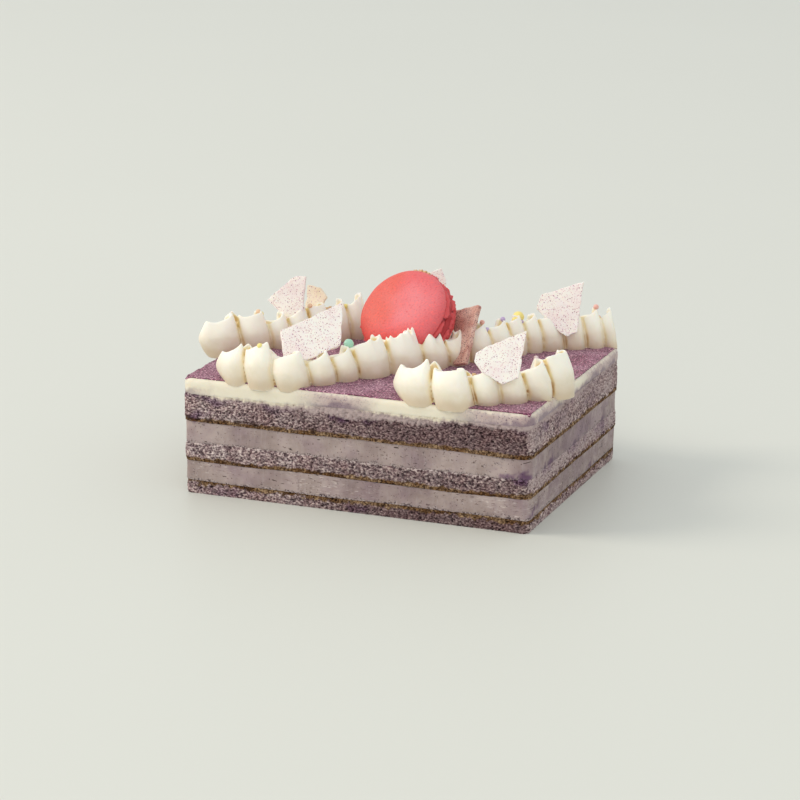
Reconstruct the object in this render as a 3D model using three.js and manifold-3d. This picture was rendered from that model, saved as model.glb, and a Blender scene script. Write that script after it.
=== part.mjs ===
// A rectangular taro mousse cake in millimetres, +Z up, its long front side towards -Y.
// Three purple sponges and two lilac mousses lie under a white cream topping. Three rows of
// ruffled piped cream cross the top, with a macaron and broken chocolate tiles stuck between them.
import * as THREE from "three";
import { mergeVertices } from "three/addons/utils/BufferGeometryUtils.js";
import Module from "manifold-3d";

const wasm = await Module();
wasm.setup();
const WELD = 1e-4; // distance under which two points are one

// Body of the cake
const LENGTH = 155.6; // along the front side, X
const DEPTH = 123.4; // front to back, Y
const HEIGHT = 50.4; // table to the top of the cream topping
const LAYER_GAP = 0.2; // between two layers
const CONTACT_GAP = 0.3; // between a piece and the one it is pressed into
const WAVE = 0.21; // rise and fall of the border between two layers
const WAVE_LONG = 17; // slow wave along the border, per radian
const WAVE_SHORT = 7.3; // quicker wave along it
const WAVE_ACROSS = 11; // how the quicker wave changes from front to back
const SHORT_SHARE = 0.6; // strength of the quicker wave beside the slow one
const EDGE_SOFTNESS = 0.5; // how far a layer's edges draw in at its two borders
const FACE_FROM = 0.2; // share of a layer's height where its upright face begins
const FACE_TO = 0.8; // and where it ends
const SIDE_STEPS = 8; // facets along a long side
const END_STEPS = 6; // facets along a short side
const CORNER_STEPS = 4; // facets round a corner

// Piped cream rows
const SWING_BASE = 4.4; // sideways swing of the ribbon where it lies on the cake
const SWING_TOP = 7.0; // sideways swing of its thin upper edge
const DOUBLING_BASE = 0.1; // share of a fold by which the ribbon doubles back at its base
const DOUBLING_TOP = 0.24; // and at its upper edge, where the loops close
const LEAN = 3.0; // how far the upper edge trails behind the base
const DROOP = 3.0; // how far the ribbon sags where it passes the edge of the cake
const DROOP_FROM = 1.8; // how far inside the edge the sagging begins
const DROOP_BAND = 2.2; // and over which distance it grows to the full
const END_TAPER = 0.25; // share by which the swing shrinks at a row's two ends
const TAPER_FOLDS = 1.5; // folds over which it does so
const RAGGED = 0.6; // unevenness of the upper edge
const RIM_TILT = 0.11; // share by which the upper edge dips on the left of a fold and rises on its right
const BACK_RISE = 2.0; // how much higher the edge stands at the back of a fold
const START_FOLD = 0.22; // where the ribbon begins in a row's first fold
const END_FOLD = 0.1; // how far before the end of the last fold it stops
const START_FLARE = 4.5; // how far the upper corner of its first end spreads out
const FLARE_FOLDS = 0.3; // share of a fold in which that spread fades
const BEND_HOLD = 0.8; // share of the bend's radius that the half thickness may fill
const BEND_STEP = 0.02; // step in folds by which the bend is measured
const FOLD_STEPS = 8; // stations of the sweep in one fold
const FOLD_REACH = 0.03; // how far two neighbouring folds run into each other
const LINE_MEASURES = 400; // pieces in which a row's line is measured
const RISES = [0, 0.6, 1]; // shares of the height at which the section is given
const THICKNESS = [0.38, 0.35, 0.13]; // of the ribbon there, as shares of the fold's width
const GOLDEN = 0.618034; // golden section, for an unevenness that never repeats

// Macaron
const SHELL_RADIUS = 20.5;
const SHELL_DOME = 6.2; // height of the dome above its foot
const DOME_FULLNESS = 0.62; // below 1 the dome is fuller at its rim than a ball
const DOME_STEPS = 6;
const DOME_SET = 0.4; // how far the dome's rim lies inside the foot
const DOME_LIP = 0.8; // height of that rim above the foot
const FOOT_HEIGHT = 2.2;
const FOOT_WAIST = 0.9; // depth of the groove between foot and dome
const FOOT_ROUND = [[1.4, 0], [0.3, 0.5], [0, 1.3]]; // the foot's edge: in from the radius, and up
const FILLING_THICKNESS = 3.4;
const FILLING_RADIUS = 18.8;
const FILLING_EDGE = 0.5; // bulge of the filling's edge
const MACARON_AT = [-1.2, 5.4, 68.6]; // middle of the filling
const MACARON_TURN = -13.2; // degrees from facing the front, towards the left
const MACARON_TILT = 39.4; // degrees by which it leans back
const MACARON_STEPS = 26;

const TILE_THICKNESS = 2.0;
const TILE_BEVEL = 0.25;
const PEARL_SEGMENTS = 6;
const PEARL_RINGS = 3;
const PEARL_SINK = 0.35; // share of its radius by which a pearl sinks into the cream

const SPONGE = { color: 0x8f7a8c, roughness: 0.95, metalness: 0 };
const MOUSSE = { color: 0xbcaebb, roughness: 0.7, metalness: 0 };
const CREAM = { color: 0xeee5d2, roughness: 0.5, metalness: 0 };
const CHOCOLATE = { color: 0xeadfdc, roughness: 0.55, metalness: 0 };
const SHELL = { color: 0xe0555c, roughness: 0.6, metalness: 0 };
const FILLING = { color: 0xc04a50, roughness: 0.7, metalness: 0 };

// Layers from the table up to the topping. `inset` pulls the cut side in from the cake's plan,
// `bulge` is how far the middle of the side stands out again, and `corner` is the radius of the
// upright corners.
const LAYERS = [
  { name: "sponge_base", bottom: 0, top: 5.8, inset: 1.5, bulge: 0.3, corner: 2.5, finish: SPONGE },
  { name: "mousse_lower", bottom: 5.8, top: 14.7, inset: 1.3, bulge: -0.2, corner: 3, finish: MOUSSE },
  { name: "sponge_middle", bottom: 14.7, top: 22.6, inset: 0.7, bulge: 0.5, corner: 3.5, finish: SPONGE },
  { name: "mousse_upper", bottom: 22.6, top: 32, inset: 1.0, bulge: -0.2, corner: 4, finish: MOUSSE },
  { name: "sponge_top", bottom: 32, top: 44.8, inset: 0.2, bulge: 0.4, corner: 4.5, finish: SPONGE },
];
const TOPPING = { bottom: 44.8, top: HEIGHT, inset: 0, bulge: 0.1, corner: 5 };
const TOPPING_SLOPE = 1.0; // how much deeper the topping is at the left end than in the middle
const TOPPING_EDGE = 1.4; // round of the topping's upper edge
const TOPPING_FACE = 0.6; // share of its height where the upright face ends
const SHOULDER = 0.92; // share of its height halfway round the edge
const SHOULDER_SHARE = 0.35; // share of the round that is drawn in there

// Rows of piped cream: the line the ribbon follows across the top, then the width along that line
// and the height of every fold.
const ROWS = [
  {
    name: "piped_cream_left",
    line: [[-84.5, -18.5], [-68, -4], [-48, 18], [-34, 34], [-13, 57]],
    widths: [14.6, 13, 9.8, 9.8, 9.4, 9.2, 9.2, 9.5, 9.5, 9.5],
    heights: [15, 16, 14.5, 16, 17.5, 18, 18.5, 18, 17.5, 17],
  },
  {
    name: "piped_cream_centre",
    line: [[-58.8, -55.5], [-30, -55.2], [-12, -35], [20, 6], [48, 44], [75, 63.5]],
    widths: [11.4, 12.2, 13.1, 11.1, 11.3, 15.7, 16.1, 12.8, 10.7, 12.1, 10.8, 8, 8.2, 11.5, 10.2, 8.4, 6],
    heights: [14.5, 17, 14, 12.5, 13.5, 17.5, 16.5, 14.5, 13.5, 16, 16, 16.5, 17, 15, 16, 17.5, 16],
  },
  {
    name: "piped_cream_right",
    line: [[20.6, -55], [44, -55.6], [57, -47], [70, -34], [77, -20], [78.3, -16.3]],
    widths: [14.8, 15.2, 10.2, 11.7, 11, 13.9],
    heights: [15, 14, 14.5, 12.5, 15.3, 17.5],
  },
];

// A short run of the same piping behind the macaron, for it to lean on.
const BACKREST = {
  name: "piped_cream_rest",
  line: [[-9, 14], [11, 34]],
  widths: [13, 13],
  heights: [20, 20],
};

// Sugar pearls stuck in the piping: how far along the row counted in folds, at which share of its
// height, and the radius.
const PEARLS = {
  piped_cream_left: [
    { fold: 1.71, rise: 1, radius: 1.1 },
    { fold: 2.03, rise: 1, radius: 1.2 },
    { fold: 4.4, rise: 1, radius: 1.1 },
    { fold: 5.0, rise: 0.8, radius: 1.3 },
    { fold: 6.15, rise: 1, radius: 1.1 },
    { fold: 6.35, rise: 1, radius: 1.1 },
  ],
  piped_cream_centre: [
    { fold: 1.65, rise: 1, radius: 1.3 },
    { fold: 5.07, rise: 1, radius: 2.15 },
    { fold: 9.66, rise: 1, radius: 1.1 },
    { fold: 10.08, rise: 1, radius: 1.5 },
    { fold: 10.33, rise: 1, radius: 1.1 },
    { fold: 10.65, rise: 1, radius: 1.1 },
    { fold: 11.75, rise: 0.6, radius: 1.5 },
    { fold: 11.74, rise: 0.85, radius: 1.5 },
    { fold: 12.12, rise: 1, radius: 2.5 },
    { fold: 12.29, rise: 1, radius: 1.1 },
    { fold: 15.66, rise: 1, radius: 1.2 },
    { fold: 16.06, rise: 0.8, radius: 1.6 },
  ],
};

// A pearl that fell on the topping.
const FALLEN_PEARL = { at: [50.8, 24.3], radius: 1.1 };

// Broken chocolate tiles: middle, turn and backward tilt in degrees, and the corners of the
// outline across and up its own plane.
const TILES = [
  {
    name: "chocolate_tile_1", at: [-59.6, 8.5, 71.7], turn: 8, tilt: 12,
    corners: [[8.7, 9.8], [8.3, -9.4], [0.8, -9.8], [-8.7, -1.9], [1.7, 7.9], [3.9, 9.4]],
  },
  {
    name: "chocolate_tile_2", at: [-24.8, -43.8, 71.1], turn: 36, tilt: 32,
    corners: [[14.3, 12.6], [11.0, -6.7], [-4.3, -12.6], [-14.3, -10.5], [-14.1, 1.3]],
  },
  {
    name: "chocolate_tile_3", at: [23.2, 6.8, 63.8], turn: -41, tilt: 27,
    corners: [[3.7, 14.2], [12.5, -11.4], [5.0, -14.2], [-12.5, 7.5]],
  },
  {
    name: "chocolate_tile_4", at: [59.9, -49.9, 70.2], turn: 22, tilt: 20,
    corners: [[10.7, 11.1], [7.4, -8.4], [0.5, -11.1], [-8.0, -6.1], [-10.7, -1.9], [-10.2, 1.8],
      [-5.0, 4.9]],
  },
  {
    name: "chocolate_tile_5", at: [54.5, 44.4, 69.4], turn: 14, tilt: 16,
    corners: [[10.3, 12.3], [8.2, -10.4], [3.7, -12.3], [-1.2, -9.5], [-10.3, -0.6], [-8.4, 5.8]],
  },
  {
    name: "chocolate_tile_6", at: [-10.4, 52.7, 71.4], turn: 18, tilt: 10,
    corners: [[6.6, 8.6], [9.0, 2.8], [8.3, -7.5], [-6.0, -10.1], [-9.0, 3.2]],
  },
  {
    name: "chocolate_tile_7", at: [-51.3, 23.6, 67.8], turn: 5, tilt: 15,
    corners: [[-4.7, 6.6], [1.4, 5.7], [5.0, 1.5], [2.6, -3.3], [-5.0, -6.6]],
  },
];

const cake = new THREE.Group();
cake.name = "taro_mousse_cake";

function lerp(from, to, share) {
  return from + (to - from) * share;
}

function smooth(value) {
  const share = Math.min(1, Math.max(0, value));
  return share * share * (3 - 2 * share);
}

// A number from -1 to 1 that jumps about evenly as `index` counts up.
function uneven(index, salt) {
  const share = index * GOLDEN + salt;
  return 2 * (share - Math.floor(share)) - 1;
}

function solidOf(geometry) {
  const bare = new THREE.BufferGeometry();
  const loose = geometry.index ? geometry.toNonIndexed() : geometry;
  bare.setAttribute("position", loose.getAttribute("position"));
  const merged = mergeVertices(bare, WELD);
  return new wasm.Manifold(
    new wasm.Mesh({
      numProp: 3,
      vertProperties: new Float32Array(merged.attributes.position.array),
      triVerts: new Uint32Array(merged.index.array),
    }),
  );
}

function geometryOf(solid) {
  const mesh = solid.getMesh();
  const geometry = new THREE.BufferGeometry();
  geometry.setAttribute("position", new THREE.BufferAttribute(new Float32Array(mesh.vertProperties), 3));
  geometry.setIndex(new THREE.BufferAttribute(new Uint32Array(mesh.triVerts), 1));
  return geometry;
}

// The largest body of a joined shape, without loose scraps or sealed hollows.
function mainBody(solid) {
  return solid.decompose().sort((a, b) => b.volume() - a.volume())[0];
}

function addNode(name, geometry, finish) {
  geometry.computeVertexNormals();
  const mesh = new THREE.Mesh(geometry, new THREE.MeshStandardMaterial(finish));
  mesh.name = name;
  cake.add(mesh);
}

// A closed solid through rings of points that all have the same count, with a flat fan at each end.
function loft(rings) {
  const count = rings[0].length;
  const points = rings.flat();
  const faces = [];
  for (let ring = 0; ring + 1 < rings.length; ring += 1) {
    for (let step = 0; step < count; step += 1) {
      const a = ring * count + step;
      const b = ring * count + ((step + 1) % count);
      faces.push(a, b, b + count, a, b + count, a + count);
    }
  }
  for (const end of [0, rings.length - 1]) {
    const middle = new THREE.Vector3();
    rings[end].forEach((point) => middle.add(point));
    middle.divideScalar(count);
    const hub = points.push(middle) - 1;
    for (let step = 0; step < count; step += 1) {
      const a = end * count + step;
      const b = end * count + ((step + 1) % count);
      if (end === 0) faces.push(hub, b, a);
      else faces.push(hub, a, b);
    }
  }
  const geometry = new THREE.BufferGeometry().setFromPoints(points);
  geometry.setIndex(faces);
  return geometry;
}

// The cake's plan as a rounded rectangle, anticlockwise, with the same number of points for any
// inset and corner radius.
function planOutline(inset, corner) {
  const halfX = LENGTH / 2 - inset;
  const halfY = DEPTH / 2 - inset;
  const outline = [];
  const corners = [[1, -1], [1, 1], [-1, 1], [-1, -1]];
  corners.forEach(([signX, signY], index) => {
    const start = (index - 1) * (Math.PI / 2);
    const centre = [signX * (halfX - corner), signY * (halfY - corner)];
    for (let step = 0; step <= CORNER_STEPS; step += 1) {
      const angle = start + (step / CORNER_STEPS) * (Math.PI / 2);
      outline.push([centre[0] + corner * Math.cos(angle), centre[1] + corner * Math.sin(angle)]);
    }
    const [nextX, nextY] = corners[(index + 1) % corners.length];
    const from = outline[outline.length - 1];
    const to = index % 2 === 0
      ? [from[0], nextY * (halfY - corner)]
      : [nextX * (halfX - corner), from[1]];
    const steps = index % 2 === 0 ? END_STEPS : SIDE_STEPS;
    for (let step = 1; step < steps; step += 1) {
      outline.push([lerp(from[0], to[0], step / steps), lerp(from[1], to[1], step / steps)]);
    }
  });
  return outline;
}

// Height of the border at a level: the table and the cake's top are flat, the borders between two
// layers wander, and the topping is deeper at the left end.
function borderHeight(level, x, y) {
  if (level === 0 || level === HEIGHT) return level;
  const slow = Math.sin(x / WAVE_LONG + level);
  const quick = Math.sin(x / WAVE_SHORT + y / WAVE_ACROSS + 2 * level);
  const slope = level === TOPPING.bottom ? (TOPPING_SLOPE * x) / (LENGTH / 2) : 0;
  return level + WAVE * (slow + SHORT_SHARE * quick) + slope;
}

// Outline of a layer at a share of its height, drawn in by `extra` and lifted by `lift`.
function layerRing(layer, share, extra, lift) {
  const out = layer.bulge * Math.sin(Math.PI * share);
  return planOutline(layer.inset + extra - out, layer.corner).map(([x, y]) => {
    const low = borderHeight(layer.bottom, x, y);
    const high = borderHeight(layer.top, x, y);
    return new THREE.Vector3(x, y, lerp(low, high, share) + lift);
  });
}

function layerGeometry(layer) {
  const lift = layer.bottom === 0 ? 0 : LAYER_GAP / 2;
  return loft([
    layerRing(layer, 0, EDGE_SOFTNESS, lift),
    layerRing(layer, FACE_FROM, 0, 0),
    layerRing(layer, FACE_TO, 0, 0),
    layerRing(layer, 1, EDGE_SOFTNESS, -LAYER_GAP / 2),
  ]);
}

// The topping has a rounded upper edge.
function toppingGeometry() {
  return loft([
    layerRing(TOPPING, 0, EDGE_SOFTNESS, LAYER_GAP / 2),
    layerRing(TOPPING, FACE_FROM, 0, 0),
    layerRing(TOPPING, TOPPING_FACE, 0, 0),
    layerRing(TOPPING, SHOULDER, TOPPING_EDGE * SHOULDER_SHARE, 0),
    layerRing(TOPPING, 1, TOPPING_EDGE, 0),
  ]);
}

// The topping grown on all sides, to keep the piping clear of it.
function toppingKeepOut() {
  const grown = (share, extra, lift) => layerRing(TOPPING, share, extra - CONTACT_GAP, lift);
  const rings = [
    grown(0, 0, -DROOP),
    grown(TOPPING_FACE, 0, 0),
    grown(SHOULDER, TOPPING_EDGE * SHOULDER_SHARE, CONTACT_GAP),
    grown(1, TOPPING_EDGE, CONTACT_GAP),
  ];
  return solidOf(loft(rings));
}

// The line of a row with its length measured, so that a place on it is found by distance.
function rowPath(row) {
  const knots = row.line.map(([x, y]) => new THREE.Vector3(x, y, 0));
  const curve = new THREE.CatmullRomCurve3(knots, false, "catmullrom", 0.5);
  curve.arcLengthDivisions = LINE_MEASURES;
  return { curve, length: curve.getLength() };
}

// Point on a row's line at a distance from its start, continued straight past its two ends, with
// the direction to the right of the line.
function placeOnRow(path, distance) {
  const share = Math.min(1, Math.max(0, distance / path.length));
  const point = path.curve.getPointAt(share);
  const ahead = path.curve.getTangentAt(share);
  point.addScaledVector(ahead, distance - share * path.length);
  return { point, side: new THREE.Vector3(ahead.y, -ahead.x, 0) };
}

// A row with its folds fitted to the length of its line.
function preparedRow(row) {
  const path = rowPath(row);
  const sum = row.widths.reduce((total, width) => total + width, 0);
  const widths = row.widths.map((width) => (width * path.length) / sum);
  const starts = [0];
  widths.forEach((width) => starts.push(starts[starts.length - 1] + width));
  return { ...row, path, widths, starts };
}

// Value of a list between two of its entries.
function along(list, place) {
  const last = list.length - 1;
  const held = Math.min(last, Math.max(0, place));
  const below = Math.floor(held);
  const above = Math.min(last, below + 1);
  return lerp(list[below], list[above], smooth(held - below));
}

// Middle of the ribbon. `fold` counts the folds along the row and `rise` is the share of the
// height. Whole folds lie at the back, halves at the front.
function ribbonPoint(row, fold, rise) {
  const count = row.widths.length;
  const index = Math.min(count - 1, Math.max(0, Math.floor(fold)));
  const share = fold - index;
  const width = row.widths[index];
  const flare = START_FLARE * rise * (1 - smooth((fold - START_FOLD) / FLARE_FOLDS));
  const doubling = lerp(DOUBLING_BASE, DOUBLING_TOP, rise) * width * Math.sin(4 * Math.PI * share);
  const distance = row.starts[index] + width * share + doubling - LEAN * rise - flare;
  const fromEnd = Math.min(fold, count - fold);
  const taper = 1 - END_TAPER * (1 - smooth(fromEnd / TAPER_FOLDS));
  const swing = lerp(SWING_BASE, SWING_TOP, rise) * taper;
  const { point, side } = placeOnRow(row.path, distance);
  point.addScaledVector(side, -swing * Math.cos(2 * Math.PI * share));
  const dip = RIM_TILT * (1 + Math.cos(2 * Math.PI * (share - 0.25)));
  const height = along(row.heights, fold - 0.5) * (1 - dip);
  const back = BACK_RISE * (0.5 + 0.5 * Math.cos(2 * Math.PI * share)) ** 2;
  point.z = HEIGHT + (height + back) * rise;
  return point;
}

// Width of the folds round a place, passing smoothly from one to the next.
function foldWidth(row, fold) {
  return along(row.widths, fold - 0.5);
}

// Half the ribbon's thickness to each side, held back on the inner side of a tight bend.
function ribbonHalves(row, fold, rise, thickness) {
  const before = ribbonPoint(row, fold - BEND_STEP, rise);
  const here = ribbonPoint(row, fold, rise);
  const after = ribbonPoint(row, fold + BEND_STEP, rise);
  const first = new THREE.Vector3().subVectors(after, before).divideScalar(2 * BEND_STEP);
  const second = new THREE.Vector3().addVectors(after, before).addScaledVector(here, -2);
  second.divideScalar(BEND_STEP * BEND_STEP);
  const speed = Math.hypot(first.x, first.y);
  const turn = (first.x * second.y - first.y * second.x) / speed ** 3;
  const half = thickness / 2;
  const held = Math.min(half, BEND_HOLD / Math.abs(turn));
  const normal = new THREE.Vector3(-first.y / speed, first.x / speed, 0);
  return { here, normal, left: turn > 0 ? held : half, right: turn > 0 ? half : held };
}

// How far the foot of the ribbon hangs down where it reaches over the edge of the cake.
function droopAt(point) {
  const past = Math.max(Math.abs(point.x) - LENGTH / 2, Math.abs(point.y) - DEPTH / 2);
  return DROOP * smooth((past + DROOP_FROM) / DROOP_BAND);
}

// Closed section of the ribbon at one place along it, up its left side and down its right side.
function ribbonSection(row, fold) {
  const left = [];
  const right = [];
  const width = foldWidth(row, fold);
  RISES.forEach((rise, level) => {
    const thickness = THICKNESS[level] * width;
    const { here, normal, left: toLeft, right: toRight } = ribbonHalves(row, fold, rise, thickness);
    const ragged = level === RISES.length - 1 ? RAGGED * uneven(Math.round(fold * FOLD_STEPS), 0.3) : 0;
    const leftPoint = here.clone().addScaledVector(normal, toLeft);
    const rightPoint = here.clone().addScaledVector(normal, -toRight);
    for (const point of [leftPoint, rightPoint]) {
      point.z += ragged - (level === 0 ? droopAt(point) : 0);
    }
    left.push(leftPoint);
    right.unshift(rightPoint);
  });
  return [...left, ...right];
}

// One fold of the ribbon, from the back of the row to its front and round to the back again.
function foldSolid(row, index) {
  const isLast = index === row.widths.length - 1;
  const from = index === 0 ? START_FOLD : index - FOLD_REACH;
  const to = isLast ? index + 1 - END_FOLD : index + 1 + FOLD_REACH;
  const rings = [ribbonSection(row, from)];
  for (let step = 1; step < FOLD_STEPS; step += 1) {
    const fold = index + step / FOLD_STEPS;
    if (fold > from + FOLD_REACH && fold < to - FOLD_REACH) rings.push(ribbonSection(row, fold));
  }
  rings.push(ribbonSection(row, to));
  return solidOf(loft(rings));
}

// A whole row with its pearls, cut clear of everything that stands in it.
function pipedRow(row, keepOuts) {
  let joined = foldSolid(row, 0);
  for (let index = 1; index < row.widths.length; index += 1) {
    joined = joined.add(foldSolid(row, index));
  }
  for (const { fold, rise, radius } of PEARLS[row.name] ?? []) {
    joined = joined.add(pearlSolid(ribbonPoint(row, fold, rise), radius));
  }
  for (const keepOut of keepOuts) joined = joined.subtract(keepOut);
  return mainBody(joined);
}

// A sugar pearl sunk a little into what it lies on.
function pearlSolid(seat, radius) {
  const ball = new THREE.SphereGeometry(radius, PEARL_SEGMENTS, PEARL_RINGS);
  ball.rotateX(Math.PI / 2);
  ball.translate(seat.x, seat.y, seat.z + radius * (1 - PEARL_SINK));
  return solidOf(ball);
}

// Places a shape that faces +Z so that it faces the front, turned about Z and leaning back.
function leaning(at, turn, tilt) {
  const matrix = new THREE.Matrix4().makeTranslation(...at);
  matrix.multiply(new THREE.Matrix4().makeRotationZ(THREE.MathUtils.degToRad(turn)));
  matrix.multiply(new THREE.Matrix4().makeRotationX(THREE.MathUtils.degToRad(90 - tilt)));
  return matrix;
}

// A plate over an outline, with its edges bevelled by `bevel` outside the outline less `offset`.
function plate(tile, depth, bevel, offset) {
  const shape = new THREE.Shape(tile.corners.map(([across, up]) => new THREE.Vector2(across, up)));
  const geometry = new THREE.ExtrudeGeometry(shape, {
    depth,
    bevelEnabled: true,
    bevelThickness: bevel,
    bevelSize: bevel,
    bevelOffset: -offset,
    bevelSegments: 1,
  });
  geometry.translate(0, 0, -depth / 2);
  return geometry.applyMatrix4(leaning(tile.at, tile.turn, tile.tilt));
}

function tileGeometry(tile) {
  return plate(tile, TILE_THICKNESS - 2 * TILE_BEVEL, TILE_BEVEL, TILE_BEVEL);
}

// The tile grown by the contact gap on every side.
function tileKeepOut(tile) {
  return solidOf(plate(tile, TILE_THICKNESS, CONTACT_GAP, 0));
}

// Points over a dome from its rim to just before the axis, as radius and height.
function domeSide(radius, low, high) {
  const side = [];
  for (let step = 0; step < DOME_STEPS; step += 1) {
    const angle = (step / DOME_STEPS) * (Math.PI / 2);
    const reach = radius * Math.cos(angle) ** DOME_FULLNESS;
    side.push(new THREE.Vector2(reach, lerp(low, high, Math.sin(angle))));
  }
  return side;
}

// Profile of one macaron shell from the axis on its flat side, round the foot, over the dome.
function shellProfile() {
  const start = FILLING_THICKNESS / 2 + CONTACT_GAP / 2;
  const foot = start + FOOT_HEIGHT;
  const rim = FOOT_ROUND.map(([inward, up]) => new THREE.Vector2(SHELL_RADIUS - inward, start + up));
  return [
    new THREE.Vector2(0, start),
    ...rim,
    new THREE.Vector2(SHELL_RADIUS - FOOT_WAIST, foot),
    ...domeSide(SHELL_RADIUS - DOME_SET, foot + DOME_LIP, foot + SHELL_DOME),
    new THREE.Vector2(0, foot + SHELL_DOME),
  ];
}

// Turns a profile of radius and height into a closed solid of revolution about Z.
function turned(profile) {
  const geometry = new THREE.LatheGeometry(profile, MACARON_STEPS);
  geometry.rotateX(Math.PI / 2);
  return geometry;
}

function macaronPieces() {
  const place = leaning(MACARON_AT, MACARON_TURN, MACARON_TILT);
  const front = turned(shellProfile()).applyMatrix4(place);
  const back = turned(shellProfile()).rotateX(Math.PI).applyMatrix4(place);
  const half = FILLING_THICKNESS / 2 - CONTACT_GAP / 2;
  const filling = turned([
    new THREE.Vector2(0, -half),
    new THREE.Vector2(FILLING_RADIUS - FILLING_EDGE, -half),
    new THREE.Vector2(FILLING_RADIUS, 0),
    new THREE.Vector2(FILLING_RADIUS - FILLING_EDGE, half),
    new THREE.Vector2(0, half),
  ]).applyMatrix4(place);
  return { front, filling, back };
}

// The whole macaron as one plain body, grown by the contact gap.
function macaronKeepOut() {
  const low = FILLING_THICKNESS / 2 + FOOT_HEIGHT + DOME_LIP + 2 * CONTACT_GAP;
  const top = FILLING_THICKNESS / 2 + FOOT_HEIGHT + SHELL_DOME + 2 * CONTACT_GAP;
  const side = domeSide(SHELL_RADIUS + CONTACT_GAP, low, top);
  const profile = [
    new THREE.Vector2(0, -top),
    ...side.toReversed().map((point) => new THREE.Vector2(point.x, -point.y)),
    ...side,
    new THREE.Vector2(0, top),
  ];
  return solidOf(turned(profile).applyMatrix4(leaning(MACARON_AT, MACARON_TURN, MACARON_TILT)));
}

// The topping with the pearl that fell on it and the dent in which the macaron sits.
function toppingSolid() {
  const seat = new THREE.Vector3(...FALLEN_PEARL.at, HEIGHT);
  const pearl = pearlSolid(seat, FALLEN_PEARL.radius);
  return solidOf(toppingGeometry()).add(pearl).subtract(macaronKeepOut());
}

for (const layer of LAYERS) addNode(layer.name, layerGeometry(layer), layer.finish);
addNode("cream_topping", geometryOf(toppingSolid()), CREAM);

const macaron = macaronPieces();
addNode("macaron_shell_front", macaron.front, SHELL);
addNode("macaron_filling", macaron.filling, FILLING);
addNode("macaron_shell_back", macaron.back, SHELL);

for (const tile of TILES) addNode(tile.name, tileGeometry(tile), CHOCOLATE);

const keepOuts = [toppingKeepOut(), macaronKeepOut(), ...TILES.map(tileKeepOut)];
for (const plan of [...ROWS, BACKREST]) {
  addNode(plan.name, geometryOf(pipedRow(preparedRow(plan), keepOuts)), CREAM);
}

export default cake;
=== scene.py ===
"""Dresses the taro mousse cake: open sponge crumb, smooth mousse, ruffled piped cream, a macaron,
speckled chocolate plates, sugar pearls and taro powder. Sizes in the classes are millimetres."""

import itertools
import logging
import math
from collections.abc import Callable, Sequence
from dataclasses import dataclass
from enum import Enum

import bmesh
import bpy
import numpy as np
from bpy.types import Material, Node, NodeSocket, NodeTree, Object
from mathutils import Matrix, Vector
from mathutils.bvhtree import BVHTree


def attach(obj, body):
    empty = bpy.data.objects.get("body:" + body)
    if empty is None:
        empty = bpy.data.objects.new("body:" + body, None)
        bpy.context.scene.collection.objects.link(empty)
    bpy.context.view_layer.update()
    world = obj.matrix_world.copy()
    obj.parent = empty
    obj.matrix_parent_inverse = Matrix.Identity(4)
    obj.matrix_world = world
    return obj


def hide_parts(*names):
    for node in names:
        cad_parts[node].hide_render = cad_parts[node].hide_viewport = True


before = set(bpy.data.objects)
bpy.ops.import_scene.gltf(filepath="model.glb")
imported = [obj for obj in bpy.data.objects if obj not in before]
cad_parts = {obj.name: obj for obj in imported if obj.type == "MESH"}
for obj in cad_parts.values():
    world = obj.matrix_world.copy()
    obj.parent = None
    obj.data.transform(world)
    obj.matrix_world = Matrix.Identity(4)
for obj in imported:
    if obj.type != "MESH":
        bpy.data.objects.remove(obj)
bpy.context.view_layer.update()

LOG = logging.getLogger("taro_cake")
MM = 0.001
SMOOTH_UNDER = 50.0  # degrees between two faces that are still shaded as one
MOST_CUTS = 100  # lengths that an edge is cut into in one go
STRAIGHT = 0.999  # share of an edge's length that has to lie along an axis
BARELY = 1e-6  # keeps a division clear of zero


class Pattern(Enum):
    """Patterns of relief that a surface can be given."""

    LUMPS = "CLOUDS"
    CELLS = "VORONOI"


def linear(colour: str) -> tuple[float, float, float, float]:
    """Turns an sRGB hex colour into linear red, green, blue and alpha.

    Args:
        colour: six hex digits after a hash sign.

    Returns:
        The linear colour with an alpha of 1.
    """
    parts = [int(colour[i : i + 2], 16) / 255 for i in (1, 3, 5)]
    red, green, blue = (
        part / 12.92 if part <= 0.04045 else ((part + 0.055) / 1.055) ** 2.4 for part in parts
    )
    return red, green, blue, 1.0


def smooth(value: np.ndarray) -> np.ndarray:
    """Eases values from 0 to 1 and holds them there outside that range."""
    held = np.clip(value, 0.0, 1.0)
    return held * held * (3 - 2 * held)


def wander(points: np.ndarray, size: float, seed: int) -> np.ndarray:
    """Smooth seeded noise from -1 to 1.

    Args:
        points: one row of coordinates for each point, in mm.
        size: distance between two knots of the noise, in mm.
        seed: picks the pattern.

    Returns:
        One value for each point.
    """
    place = np.asarray(points, float) / size + 31.7 * seed
    base = np.floor(place)
    share = smooth(place - base)
    total = np.zeros(len(place))
    for corner in itertools.product((0, 1), repeat=place.shape[1]):
        knot = base + corner
        weight = np.prod(np.where(np.array(corner) == 1, share, 1 - share), axis=1)
        mix = knot @ np.array([12.9898, 78.233, 37.719][: place.shape[1]])
        value = np.sin(mix) * 43758.5453
        total += weight * (value - np.floor(value))
    return 2 * total - 1


def fractal(points: np.ndarray, size: float, seed: int, layers: int = 3) -> np.ndarray:
    """Noise of several sizes laid over each other, each half as large and strong as the last.

    Args:
        points: one row of coordinates for each point, in mm.
        size: size of the coarsest noise in mm.
        seed: picks the pattern.
        layers: how many sizes are used.

    Returns:
        One value for each point, mostly from -1 to 1.
    """
    total = np.zeros(len(points))
    for layer in range(layers):
        total += wander(points, size / 2**layer, seed + layer) / 2**layer
    return total / 1.5


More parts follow.
